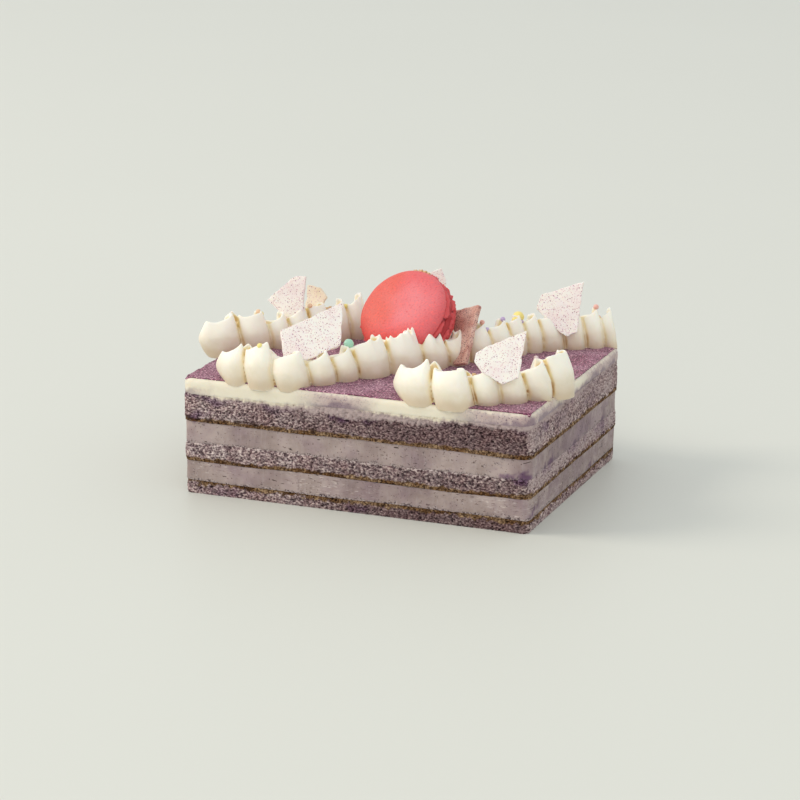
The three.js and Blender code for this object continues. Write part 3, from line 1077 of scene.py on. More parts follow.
def blotches(points: np.ndarray, spots: Sequence[Spot], ragged: float, seed: int) -> np.ndarray:
    """How strongly a set of ragged blotches covers each point.

    Args:
        points: one row of coordinates for each point, in mm.
        spots: the blotches.
        ragged: how much noise breaks up their edges.
        seed: picks the noise.

    Returns:
        A share from 0 to 1 for each point.
    """
    broken = fractal(points, 2.4, seed, 3) * ragged
    cover = np.zeros(len(points))
    for spot in spots:
        away = (points - np.array(spot.at)) / np.array([spot.across, spot.across, spot.up])
        near = spot.strength * smooth(1.15 - np.linalg.norm(away, axis=1) + broken)
        cover = np.maximum(cover, near)
    return np.clip(cover, 0, 1)


STAINS = (
    Spot((-4.6, -61.7, 41.0), 7.0, 3.0),
    Spot((8.5, -61.7, 41.0), 6.0, 2.6),
    Spot((-70.3, -61.7, 34.5), 5.0, 3.0, 0.8),
    Spot((-32.3, -61.7, 41.5), 9.0, 2.0, 0.5),
    Spot((77.7, -44.6, 41.5), 9.0, 4.0, 1.0),
    Spot((77.7, -20.0, 40.0), 12.0, 4.0, 0.8),
    Spot((77.7, 20.0, 38.0), 14.0, 3.5, 0.8),
    Spot((71.0, -61.7, 23.5), 6.5, 3.2, 1.0),
    Spot((77.7, -36.6, 22.5), 10.0, 3.8, 1.0),
    Spot((77.7, 36.5, 21.0), 10.0, 4.4, 1.0),
    Spot((77.7, 2.0, 21.5), 14.0, 3.0, 0.9),
    Spot((1.4, -61.7, 2.0), 6.0, 2.0, 0.7),
    Spot((-60.0, -61.7, 2.0), 14.0, 2.5, 0.5),
    Spot((77.7, -52.0, 8.0), 5.0, 3.2, 1.0),
    Spot((77.7, 20.0, 7.0), 12.0, 2.5, 0.8),
    Spot((77.7, 5.0, 27.0), 60.0, 7.0, 0.4),
    Spot((77.7, 5.0, 10.0), 60.0, 5.5, 0.3),
)

BARE = (
    Spot((-45.0, -61.7, 50.4), 22.0, 30.0),
    Spot((33.0, -61.7, 50.4), 20.0, 30.0),
    Spot((77.8, -10.0, 50.4), 12.0, 30.0),
)


@dataclass(frozen=True)
class Smearing:
    """Cream stroked down over the upper edge by the knife.

    Fields: stretches of the front, along X, and of the right side, along Y, that are covered,
    with the depth in mm that the cream reaches below the top, and its thin reach elsewhere.
    """

    front: tuple[tuple[float, float, float], ...] = (
        (-100.0, -48.0, 4.6),
        (-80.0, -10.0, 7.0),
        (-4.0, 58.0, 6.0),
    )
    right: tuple[tuple[float, float, float], ...] = ((-40.0, 22.0, 3.0),)
    elsewhere: float = 0.4
    fade: float = 20.0
    softness: float = 2.8

    def cover(self, points: np.ndarray) -> np.ndarray:
        """How much cream lies on each point of the sides and the upper edge.

        Args:
            points: one row of coordinates for each point, in mm.

        Returns:
            A share from 0 to 1 for each point.
        """
        drawn = points * np.array([1.0, 1.0, 0.2])
        ragged = 1 + 0.25 * fractal(drawn, 6.0, 14, 2)
        hairs = 1.2 * fractal(drawn, 1.1, 18, 2)
        wave = 3.0 * fractal(points, 8.0, 19, 2)

        def down_to(depth: float) -> np.ndarray:
            """Cover of cream that reaches a depth below the top."""
            return smooth((points[:, 2] - PLAN.height + depth * ragged + hairs) / self.softness + 0.5)

        on_right = points[:, 0] > PLAN.length / 2 - 3.0
        on_front = (points[:, 1] < -PLAN.depth / 2 + 8.0) & ~on_right
        cover = down_to(self.elsewhere)
        for stretches, axis, here in ((self.front, 0, on_front), (self.right, 1, on_right)):
            for start, end, depth in stretches:
                place = points[:, axis] + wave
                within = smooth((place - start) / self.fade) * smooth((end - place) / self.fade)
                cover = np.where(here, np.maximum(cover, within * down_to(depth)), cover)
        return cover


SMEARING = Smearing()
VEIL = Smearing(
    front=((-74.0, -14.0, 8.0), (-44.0, 44.0, 8.6), (0.0, 100.0, 7.0)),
    right=((-90.0, 30.0, 6.8), (0.0, 90.0, 6.0)),
    elsewhere=5.4,
    fade=18.0,
    softness=2.2,
)


@dataclass
class Slab:
    """One layer of the cake as a closed slab with a finely divided cut side.

    Fields: the node, the heights of its two faces, how far its side is drawn in and bulges, the
    radius of its corners, the size of its facets, how soft its edges are and over which share of
    its height, how far it sinks into its neighbours, the percentile of the relief where the knife
    passed, the share of the height next to each face that stays smooth, and how much of what
    stood proud of the knife is left. Lengths are in mm.
    """

    node: str
    bottom: float
    top: float
    inset: float
    bulge: float
    corner: float
    grain: float = 0.42
    softness: float = 0.2
    face_share: float = 0.08
    overlap: float = 0.08
    knife: float = 55.0
    held_edge: float = 0.04
    left_proud: float = 0.25

    def block(self) -> Object:
        """Makes the slab by rounding a plane's corners and raising it in fine steps.

        Returns:
            The block, still with flat sides.
        """
        slab = start_piece(f"{self.node}_cut", bpy.ops.mesh.primitive_plane_add, size=1.0)
        slab.scale = (
            (PLAN.length - 2 * self.inset) * MM,
            (PLAN.depth - 2 * self.inset) * MM,
            1.0,
        )
        bpy.ops.object.transform_apply(location=False, rotation=False, scale=True)
        bpy.ops.object.mode_set(mode="EDIT")
        bpy.ops.mesh.select_all(action="SELECT")
        bpy.ops.mesh.bevel(offset=self.corner * MM, segments=12, affect="VERTICES")
        for axis in (0, 1):
            cut_edges(slab, axis, 20.0, self.grain)
            bpy.ops.mesh.select_all(action="SELECT")
            bpy.ops.mesh.dissolve_faces(use_verts=False)
        bpy.ops.mesh.select_all(action="SELECT")
        rise = (self.top - self.bottom) * MM
        bpy.ops.mesh.extrude_region_move(TRANSFORM_OT_translate={"value": (0, 0, rise)})
        cut_edges(slab, 2, 1.0, self.grain)
        leave_closed()
        return slab

    def profile(self, share: np.ndarray) -> np.ndarray:
        """How far the side stands out at a share of the height, in mm."""
        near_edge = np.minimum(share, 1 - share) / self.face_share
        return self.bulge * np.sin(np.pi * share) - self.softness * (1 - smooth(near_edge))

    def shape(self, slab: Object) -> np.ndarray:
        """Bends the block to the layer's own form.

        Args:
            slab: the block.

        Returns:
            Each vertex's share of the layer's height.
        """
        points = coordinates(slab)
        share = points[:, 2] / (self.top - self.bottom)
        out = PLAN.outward(points, self.inset, self.corner)
        points[:, :2] += out * self.profile(share)[:, None]
        low = PLAN.border(self.bottom, points) - (self.overlap if self.bottom else 0)
        high = PLAN.border(self.top, points) + (self.overlap if self.top < PLAN.height else 0)
        points[:, 2] = low + (high - low) * share
        move_vertices(slab, points)
        return share

    def roughen(self, slab: Object, share: np.ndarray, passes: Sequence[Relief]) -> None:
        """Carves relief into the side, trims what stands proud of the knife's cut, and stores
        how deep it went.

        Args:
            slab: the shaped slab.
            share: each vertex's share of the layer's height.
            passes: the relief, coarse to fine.
        """
        before = coordinates(slab)
        out = PLAN.outward(before, self.inset, self.corner)
        side = (share > 0.001) & (share < 0.999)
        hold(slab, "side", smooth(np.minimum(share, 1 - share) / self.held_edge + 0.35))
        for relief in passes:
            relief.carve(slab, "side")
        after = coordinates(slab)
        moved = np.sum((after - before)[:, :2] * out, axis=1)
        depth = moved - np.percentile(moved[side], self.knife)
        depth = np.where(depth > 0, depth * self.left_proud, depth) * side
        after[:, :2] += out * (depth - moved)[:, None]
        after[:, 2] = np.maximum(after[:, 2], 0.0)
        move_vertices(slab, after)
        paint(slab, "depth", depth)


@dataclass
class SpongeLayer(Slab):
    """A sponge layer: pitted crumb, with a brown skin on its baked face."""

    skin_on_top: bool = False
    skin_mm: float = 1.9
    rubbed_mm: float = 1.6
    wiped: float = 0.9
    haze: float = 0.0
    veil: float = 0.0
    side_veil: float = 0.5
    ragged: float = 0.6
    # strength of the painted shade towards the right of the front
    right_shade: float = 1.0
    stains: tuple[Spot, ...] = STAINS

    def build(self, finish: TaroSponge) -> Object:
        """Builds the layer and dresses it.

        Args:
            finish: the sponge's finish.

        Returns:
            The finished piece.
        """
        slab = self.block()
        share = self.shape(slab)
        lumps = Relief(Pattern.LUMPS, 4.0, 0.6)
        cells = Relief(Pattern.CELLS, 1.7, 1.1, 0.5, 1.3)
        crumb = Relief(Pattern.LUMPS, 0.8, 0.8, 0.5, 1.4)
        self.roughen(slab, share, (lumps, cells, crumb))
        points = coordinates(slab)
        height = self.top - self.bottom
        from_skin = (1 - share) * height if self.skin_on_top else share * height
        from_other = height - from_skin
        thick = self.skin_mm * (1 + 0.35 * fractal(points, 9.0, 5, 2))
        thick += self.ragged * fractal(points, 1.8, 6, 2)
        paint(slab, "skin", smooth((thick - from_skin) / 0.5))
        # painted shade: dark holes in a band just inside the brown skin
        holes = fractal(points * np.array([0.6, 0.6, 1.0]), 1.9, 8, 2) + 0.6 * wander(points, 14.0, 9)
        inner = smooth((thick + 1.1 - from_skin) / 0.5) * smooth((from_skin - 0.4) / 0.4)
        paint(slab, "skin_hole_shade", 0.85 * inner * smooth((holes - 0.42) / 0.25))
        side_on = smooth((points[:, 0] - PLAN.length / 2 + 3) / 2)
        rub = self.rubbed_mm * (0.5 + 0.9 * fractal(points, 2.2, 11, 3) + self.wiped * side_on)
        smeared = smooth((rub - from_other) / 0.5) * (from_skin > 0.8)
        paint(slab, "rubbed", 0.85 * smeared)
        # painted shade: every side but the right one gets darker towards its right end, as the light fell
        # off away from the lamp at the left
        right_shade = smooth((points[:, 0] + 62 + 12 * wander(points, 25.0, 41)) / 85) * (1 - side_on)
        paint(slab, "right_shade", self.right_shade * right_shade)
        cream = SMEARING.cover(points)
        paint(slab, "smear", cream)
        wiped = self.side_veil * side_on * (0.8 + 0.6 * fractal(points, 7.0, 45, 2))
        wiped *= smooth((from_skin - thick - 0.6) / 0.8)
        paint(slab, "veil", np.maximum(self.veil * VEIL.cover(points), wiped))
        haze = self.haze * smooth((3.4 + 4.5 * fractal(points, 9.0, 17, 3) - from_other) / 3.0)
        paint(slab, "stain", np.maximum(haze, blotches(points, self.stains, 0.9, 3)))
        return finish_piece(slab, finish.make(), [self.node])


@dataclass
class MousseLayer(Slab):
    """A mousse layer, smoothed by the knife, with crumbs rubbed along its borders."""

    stains: tuple[Spot, ...] = STAINS
    dirty: float = 0.8
    rubbed: float = 0.5

    def build(self, finish: LilacMousse) -> Object:
        """Builds the layer and dresses it.

        Args:
            finish: the mousse's finish.

        Returns:
            The finished piece.
        """
        slab = self.block()
        share = self.shape(slab)
        passes = (Relief(Pattern.LUMPS, 7.0, 0.5), Relief(Pattern.LUMPS, 1.6, 0.22))
        self.roughen(slab, share, passes)
        points = coordinates(slab)
        edge = share * (self.top - self.bottom)
        crumbs = smooth((0.9 + 1.5 * fractal(points, 1.8, 21, 3) - edge) / 0.4)
        strewn = smooth((fractal(points, 1.3, 27, 2) + 0.8 * wander(points, 9.0, 31) - 0.95) / 0.2)
        paint(slab, "dirty", self.dirty * np.maximum(crumbs, strewn))
        patches = fractal(points * np.array([0.5, 0.5, 1.0]), 6.0, 33, 2) + self.rubbed - 0.5
        paint(slab, "rubbed", 0.8 * smooth(patches / 0.5))
        paint(slab, "stain", blotches(points, self.stains, 0.9, 3))
        return finish_piece(slab, finish.make(), [self.node])


@dataclass
class Topping(Slab):
    """The cream topping, its upper edge rounded, with strokes of piped cream down its sides."""

    round_mm: float = 1.4
    round_from: float = 0.6
    rings: tuple[float, ...] = (0.98, 0.96, 0.92, 0.9)
    stains: tuple[Spot, ...] = STAINS

    def block(self) -> Object:
        """Makes the slab and divides its top into rings, so that colours can change across it.

        Returns:
            The block, still with flat sides.
        """
        slab = super().block()
        top = self.top - self.bottom
        bpy.ops.object.mode_set(mode="EDIT")
        bpy.ops.mesh.select_mode(type="FACE")
        bpy.ops.mesh.select_all(action="DESELECT")
        mesh = bmesh.from_edit_mesh(slab.data)
        for face in mesh.faces:
            face.select_set(face.normal.z > 0.9)
        bmesh.update_edit_mesh(slab.data)
        for size in self.rings:
            bpy.ops.mesh.extrude_region_move(TRANSFORM_OT_translate={"value": (0, 0, 0)})
            bpy.ops.transform.resize(value=(size, size, 1), center_override=(0, 0, top * MM))
        bpy.ops.object.mode_set(mode="OBJECT")
        return slab

    def profile(self, share: np.ndarray) -> np.ndarray:
        """How far the side stands out, less at its rounded upper edge.

        Args:
            share: share of the layer's height.

        Returns:
            The reach outwards in mm.
        """
        low = self.softness * (1 - smooth(share / self.face_share))
        up = np.clip((share - self.round_from) / (1 - self.round_from), 0, 1)
        return self.bulge * np.sin(np.pi * share) - low - self.round_mm * (1 - np.sqrt(1 - up**2))

    def build(self, finish: ToppingCream) -> Object:
        """Builds the topping and dresses it.

        Args:
            finish: the cream's finish.

        Returns:
            The finished piece.
        """
        slab = self.block()
        share = self.shape(slab)
        passes = (Relief(Pattern.LUMPS, 6.0, 0.5, 0.55), Relief(Pattern.LUMPS, 1.8, 0.2, 0.5))
        self.roughen(slab, share, passes)
        points = coordinates(slab)
        paint(slab, "smear", SMEARING.cover(points))
        low = smooth((0.5 + 0.8 * fractal(points, 5.0, 4, 3) - share) / 0.4) * 0.7
        paint(slab, "stain", np.maximum(low, blotches(points, self.stains, 0.9, 3)))
        return finish_piece(slab, finish.make(), [self.node])


@dataclass
class PowderSheet:
    """Taro powder sifted over the topping, thin and ragged towards the edges.

    Fields, in mm but for the last: the size of the grains, how thick it lies, how far from the
    edges it ends, how far its bare parts sink into the cream, how deep its rim reaches below
    them, and where it is bare.
    """

    grain: float = 0.5
    thickness: float = 0.45
    margin: float = 1.0
    sunk: float = 0.5
    skirt: float = 0.4
    bare: tuple[Spot, ...] = BARE

    def build(self, finish: TaroPowder) -> Object:
        """Builds the powder as a grid whose height is the heap of grains, closed below.

        Args:
            finish: the powder's finish.

        Returns:
            The finished piece.
        """
        across = PLAN.length - 3.0
        along = PLAN.depth - 3.0
        sheet = start_piece(
            "taro_powder",
            bpy.ops.mesh.primitive_grid_add,
            x_subdivisions=round(across / self.grain),
            y_subdivisions=round(along / self.grain),
            size=1.0,
        )
        sheet.scale = (across * MM, along * MM, 1.0)
        bpy.ops.object.transform_apply(location=False, rotation=False, scale=True)
        points = coordinates(sheet)
        edge = PLAN.inside(points) - self.margin - 1.1 * fractal(points, 6.0, 2, 3)
        cover = smooth(edge / 1.2 + 0.5) * (1 - blotches(points, self.bare, 0.3, 9))
        heap = self.thickness + 0.18 * fractal(points, 5.0, 6, 2)
        grains = 0.16 * wander(points, 0.75, 12) + 0.1 * wander(points, 0.5, 13)
        points[:, 2] = PLAN.height - self.sunk + cover * (self.sunk + heap + grains)
        move_vertices(sheet, points)
        bpy.ops.object.mode_set(mode="EDIT")
        bpy.ops.mesh.select_all(action="SELECT")
        bpy.ops.mesh.region_to_loop()
        down = {"value": (0, 0, -self.skirt * MM)}
        bpy.ops.mesh.extrude_region_move(TRANSFORM_OT_translate=down)
        bpy.ops.mesh.edge_face_add()
        leave_closed()
        return finish_piece(sheet, finish.make(), [])


@dataclass(frozen=True)
class Ribbon:
    """How the petal nozzle lays its ribbon: all lengths in mm, shares of a fold elsewhere."""

    swing_base: float = 4.9
    swing_top: float = 3.6
    doubling_base: float = 0.2
    doubling_top: float = 0.24
    hairpin: float = 0.04
    roundness: float = 1.7
    lean: float = 3.0
    droop: float = 1.6
    droop_from: float = 1.8
    droop_band: float = 2.2
    end_taper: float = 0.25
    taper_folds: float = 1.5
    rim_tilt: float = 0.14
    tilt_at: float = 0.2
    level_tilt: float = 0.2
    lobe_folds: float = 1.1
    lobes_a_fold: float = 3.0
    back_rise: float = 0.6
    start_folds: float = 0.4
    uneven: float = 0.12
    start_fold: float = 0.22
    end_fold: float = 0.1
    start_flare: float = 4.5
    flare_folds: float = 0.3
    thick_base: float = 0.34
    thick_middle: float = 0.28
    thick_rim: float = 0.055
    middle_rise: float = 0.55
    belly: float = 2.2
    core_reach: float = 1.2
    core_swell: float = 3.0
    core_back: float = 3.6
    core_rise: float = 0.82
    peak: float = 1.2
    peak_at: float = 0.62
    peak_share: float = 0.2


RIBBON = Ribbon()


@dataclass
class Piping:
    """One row of ruffled piping.

    Fields: the line that the row follows, the width along it and the height of every fold, the
    folds whose rim is torn, each with the depth of its teeth, the folds whose rim is as high at
    its left as at its right, how deep its first rim is lobed and how much lower the row starts.
    """

    node: str
    line: tuple[tuple[float, float], ...]
    widths: tuple[float, ...]
    heights: tuple[float, ...]
    torn: tuple[tuple[float, float], ...] = ()
    level: tuple[int, ...] = ()
    lobes: float = 0.9
    start_low: float = 0.22
    voxel: float = 0.34
    kept: float = 0.5
    stations: int = 72
    around: int = 72

    def __post_init__(self) -> None:
        """Measures the line and fits the folds to its length."""
        knots = np.array(self.line)
        ends = np.vstack([2 * knots[0] - knots[1], knots, 2 * knots[-1] - knots[-2]])
        steps = np.linspace(0, 1, 100, endpoint=False)[:, None]
        runs = []
        for a, b, c, d in zip(ends, ends[1:], ends[2:], ends[3:], strict=False):
            cubic = (-a + 3 * b - 3 * c + d) * steps**3
            square = (2 * a - 5 * b + 4 * c - d) * steps**2
            runs.append(0.5 * (2 * b + (c - a) * steps + square + cubic))
        self.track = np.vstack([*runs, knots[-1:]])
        self.measured = np.r_[0, np.cumsum(np.hypot(*np.diff(self.track, axis=0).T))]
        self.fitted = np.array(self.widths) * self.measured[-1] / sum(self.widths)
        self.starts = np.r_[0, np.cumsum(self.fitted)]

    @staticmethod
    def along(values: np.ndarray, place: np.ndarray) -> np.ndarray:
        """Value of a list between two of its entries.

        Args:
            values: the list.
            place: number of the entry, with its fraction.

        Returns:
            One value for each place.
        """
        listed = np.asarray(values, float)
        held = np.clip(place, 0, len(listed) - 1)
        below = np.floor(held).astype(int)
        above = np.minimum(len(listed) - 1, below + 1)
        return listed[below] + (listed[above] - listed[below]) * smooth(held - below)

    def place(self, distance: np.ndarray) -> tuple[np.ndarray, np.ndarray]:
        """Point on the line and the direction along it.

        Args:
            distance: distances from the start in mm.

        Returns:
            The points and the unit directions.
        """
        end = self.measured[-1]
        held = np.clip(distance, 0, end)

        def at(where: np.ndarray) -> np.ndarray:
            """Points of the line at distances within it."""
            return np.stack(
                [np.interp(where, self.measured, self.track[:, axis]) for axis in (0, 1)], axis=-1
            )

        ahead = at(np.clip(held + 0.5, 0, end)) - at(np.clip(held - 0.5, 0, end))
        ahead /= np.linalg.norm(ahead, axis=-1, keepdims=True)
        return at(held) + ahead * (distance - held)[..., None], ahead

    def middle(self, fold: np.ndarray, rise: np.ndarray) -> np.ndarray:
        """Middle of the ribbon.

        Args:
            fold: place along the row in folds. Whole folds lie at the back, halves in front.
            rise: share of the height.

        Returns:
            The points in mm.
        """
        rule = RIBBON
        count = len(self.widths)
        index = np.clip(np.floor(fold), 0, count - 1).astype(int)
        share = fold - index
        width = self.fitted[index]
        flare = 1 - smooth((fold - rule.start_fold) / rule.flare_folds)
        flare = rule.start_flare * flare * np.sin(np.pi * rise**0.85)
        in_front = 0.5 - 0.5 * np.cos(2 * np.pi * share)
        doubling = rule.doubling_base + (rule.doubling_top - rule.doubling_base) * rise
        doubling = rule.hairpin + (doubling - rule.hairpin) * smooth(in_front * 1.4)
        distance = self.starts[index] + width * share + doubling * width * np.sin(4 * np.pi * share)
        distance += -rule.lean * rise - flare
        from_end = np.minimum(fold, count - fold)
        taper = 1 - rule.end_taper * (1 - smooth(from_end / rule.taper_folds))
        swing = rule.swing_base + (rule.swing_top - rule.swing_base) * rise
        line = np.stack([fold * 10, np.full_like(fold, 7.7)], axis=-1)
        uneven = 1 + rule.uneven * wander(line, 8.0, count)
        swing = (swing + rule.belly * np.sin(np.pi * rise)) * taper * uneven
        flat, ahead = self.place(distance)
        side = np.stack([ahead[..., 1], -ahead[..., 0]], axis=-1)
        wave = np.cos(2 * np.pi * share)
        wave = np.sign(wave) * np.abs(wave) ** rule.roundness
        flat = flat - side * (swing * wave)[..., None]
        tilts = [rule.level_tilt if each in self.level else 1 for each in range(count)]
        tilt = self.along(np.array(tilts) * rule.rim_tilt, fold - 0.5)
        dip = tilt * (1 + np.cos(2 * np.pi * (share - rule.tilt_at)))
        back = rule.back_rise * (0.5 + 0.5 * np.cos(2 * np.pi * share)) ** 2
        opening = self.start_low * (1 - smooth((fold - rule.start_fold) / rule.start_folds))
        height = self.along(self.heights, fold - 0.5) * (1 - dip) * (1 - opening) + back
        return np.concatenate([flat, (PLAN.height + height * rise)[..., None]], axis=-1)

    def thickness(self, fold: np.ndarray, rise: np.ndarray) -> np.ndarray:
        """Thickness of the ribbon, rounded off at its rim.

        Args:
            fold: place along the row in folds.
            rise: share of the height.

        Returns:
            The thickness in mm.
        """
        rule = RIBBON
        upper = np.clip((rise - rule.middle_rise) / (1 - rule.middle_rise), 0, 1)
        lower = np.clip(rise / rule.middle_rise, 0, 1)
        share = rule.thick_base + (rule.thick_middle - rule.thick_base) * lower
        share = share + (rule.thick_rim - rule.thick_middle) * upper**1.15
        cap = np.sqrt(np.clip(1 - np.clip((rise - 0.95) / 0.05, 0, 1) ** 2, 0.02, 1))
        return share * cap * self.along(self.fitted, fold - 0.5)

    def rim_wear(self, fold: np.ndarray) -> np.ndarray:
        """How much the rim stands above or below its line: a soft waver, a peak in every fold,
        lobes at the row's start and torn teeth.

        Args:
            fold: place along the row in folds.

        Returns:
            The height in mm.
        """
        line = np.stack([fold * 10, np.full_like(fold, 3.1)], axis=-1)
        wear = 0.9 * wander(line, 3.1, len(self.widths)) + 0.5 * wander(line, 0.9, 3)
        share = np.mod(fold, 1.0)
        tall = 1 + 0.9 * wander(np.floor(line / 10) * 10, 7.0, 11)
        from_peak = (share - RIBBON.peak_at) / RIBBON.peak_share
        wear = wear + RIBBON.peak * tall * np.exp(-(from_peak**2))
        ridged = 0.9 - 2 * np.abs(wander(line, 0.8, 5)) ** 0.7
        open_end = 1 - smooth((fold - RIBBON.lobe_folds) / 0.6)
        wear = wear + self.lobes * open_end * np.cos(2 * np.pi * RIBBON.lobes_a_fold * fold)
        for where, depth in self.torn:
            near = smooth(1.6 - np.abs(fold - where) / 0.3)
            wear = wear + near * depth * ridged
        return wear

    def surface(self, fold: np.ndarray, turn: np.ndarray) -> np.ndarray:
        """A point of the ribbon's skin.

        Args:
            fold: place along the row in folds.
            turn: place round the section from 0 to 1, up its left side and down its right side.

        Returns:
            The points in mm.
        """
        climb = np.where(turn < 0.5, turn * 2, 2 - turn * 2)
        rise = 1 - (1 - climb) ** 1.25
        step = 0.02
        before, here, after = (self.middle(fold + shift, rise) for shift in (-step, 0, step))
        first = (after - before)[:, :2] / (2 * step)
        second = (after + before - 2 * here)[:, :2] / step**2
        speed = np.linalg.norm(first, axis=1)
        bend = (first[:, 0] * second[:, 1] - first[:, 1] * second[:, 0]) / speed**3
        half = self.thickness(fold, rise) / 2
        held = np.minimum(half, 0.8 / np.maximum(np.abs(bend), BARELY))
        is_left = turn < 0.5
        inner = np.where(is_left, bend > 0, bend <= 0)
        reach = np.where(inner, held, half) * np.where(is_left, 1, -1)
        normal = np.stack([-first[:, 1], first[:, 0]], axis=1) / speed[:, None]
        points = here.copy()
        points[:, :2] += normal * reach[:, None]
        points[:, 2] += self.rim_wear(fold) * smooth((rise - 0.55) / 0.45)
        past = np.maximum(
            np.abs(points[:, 0]) - PLAN.length / 2, np.abs(points[:, 1]) - PLAN.depth / 2
        )
        sag = RIBBON.droop * smooth((past + RIBBON.droop_from) / RIBBON.droop_band)
        points[:, 2] -= (sag + 0.35) * smooth(1 - rise / 0.35)
        return points

    def core(self, fold: np.ndarray, turn: np.ndarray) -> np.ndarray:
        """A point on the cream that fills the folds from within.

        Args:
            fold: place along the row in folds.
            turn: place round the core's section from 0 to 1.

        Returns:
            The points in mm.
        """
        rule = RIBBON
        count = len(self.widths)
        from_end = np.minimum(fold - rule.start_fold, count - rule.end_fold - fold)
        full = np.sqrt(np.clip(from_end / 0.8, 0.03, 1))
        angle = 2 * np.pi * turn
        up = np.sin(angle)
        out = np.sign(np.cos(angle)) * np.abs(np.cos(angle)) ** 0.6
        height = self.along(self.heights, fold - 0.5) * rule.core_rise * full
        rise = height * np.maximum(up, 0) ** 0.7
        lean = rule.lean * rise / np.maximum(height, BARELY) * rule.core_rise
        flat, ahead = self.place(np.interp(fold, np.arange(count + 1), self.starts) - lean)
        side = np.stack([ahead[..., 1], -ahead[..., 0]], axis=-1)
        toward = np.where(out < 0, -1, 1) * np.cos(2 * np.pi * fold)
        reach = rule.core_reach + rule.core_swell * (0.5 + 0.5 * toward)
        reach = np.where(out > 0, np.maximum(reach, rule.core_back), reach)
        flat = flat - side * (reach * full * out)[..., None]
        low = PLAN.height + rise - 0.4 * np.maximum(-up, 0)
        return np.concatenate([flat, low[..., None]], axis=-1)

    def strand(self, name: str, shape: Callable[[np.ndarray, np.ndarray], np.ndarray]) -> Object:
        """Lays a finely divided cylinder along the row.

        Args:
            name: name of the piece.
            shape: gives the place of each point from its fold and its turn round the section.

        Returns:
            The closed strand.
        """
        strand = start_piece(
            name,
            bpy.ops.mesh.primitive_cylinder_add,
            vertices=self.around,
            radius=1.0,
            depth=1.0,
            end_fill_type="NGON",
        )
        metre = 1 / MM
        bpy.ops.object.mode_set(mode="EDIT")
        cut_edges(strand, 2, metre / 2, metre / (self.stations * len(self.widths)))
        bpy.ops.object.mode_set(mode="OBJECT")
        unit = coordinates(strand) / metre
        turn = np.mod(np.arctan2(unit[:, 1], unit[:, 0]) / (2 * np.pi) + 0.5 / self.around, 1.0)
        last = len(self.widths) - RIBBON.end_fold
        fold = RIBBON.start_fold + (last - RIBBON.start_fold) * (unit[:, 2] + 0.5)
        move_vertices(strand, shape(fold, turn))
        bpy.ops.object.mode_set(mode="EDIT")
        leave_closed()
        return strand

    def build(self, finish: WhippedCream) -> Object:
        """Builds the row: the ribbon and the cream within it, fused and smoothed.

        Args:
            finish: the cream's finish.

        Returns:
            The finished piece.
        """
        core = self.strand(f"{self.node}_core", self.core)
        row = self.strand(f"{self.node}_ruffle", self.surface)
        core.select_set(True)
        bpy.ops.object.join()
        apply_modifier(row, "REMESH", mode="VOXEL", voxel_size=self.voxel * MM)
        apply_modifier(row, "SMOOTH", factor=0.5, iterations=2)
        apply_modifier(row, "DECIMATE", ratio=self.kept)
        Relief(Pattern.LUMPS, 3.5, 0.25).carve(row)
        points = coordinates(row)
        # painted light: how enclosed, how high and how ridged each point is sets where the cream is
        # painted in shade, glow and highlight
        hollow = smooth((enclosed(row, 5.0) - 0.12) / 0.6)
        paint(row, "hollow", hollow)
        up = points[:, 2] - PLAN.height
        paint(row, "crease", smooth((hollow - 0.35) / 0.6) * smooth((10 - up) / 6) * 0.85)
        paint(row, "rim", smooth((ridges(row, 12) - 0.12) / 0.4))
        low = 6.0 + 1.5 * fractal(points, 5.0, 31, 2) - up
        paint(row, "low", 0.85 * smooth(low / 6.0))
        paint(row, "high", 0.8 * smooth((1.0 - low) / 9.0))
        return finish_piece(row, finish.make(), [self.node])

    def seat(self, fold: float, rise: float) -> np.ndarray:
        """Point of the rim, or lower on the ribbon, where a pearl sits."""
        return self.middle(np.array([fold]), np.array([rise]))[0]


@dataclass(frozen=True)
class Pose:
    """Where a leaning piece is: its middle in mm, its turn and its backward tilt in degrees."""

    at: tuple[float, float, float]
    turn: float
    tilt: float

    def matrix(self) -> Matrix:
        """Turns what faces +Z to face the front, leaning back."""
        return (
            Matrix.Translation(Vector(self.at) * MM)
            @ Matrix.Rotation(math.radians(self.turn), 4, "Z")
            @ Matrix.Rotation(math.radians(90 - self.tilt), 4, "X")
        )

    def settle(self, piece: Object) -> None:
        """Puts the selected piece in its place, turned and leaning."""
        piece.matrix_world = self.matrix()
        bpy.ops.object.transform_apply(location=True, rotation=True, scale=True)


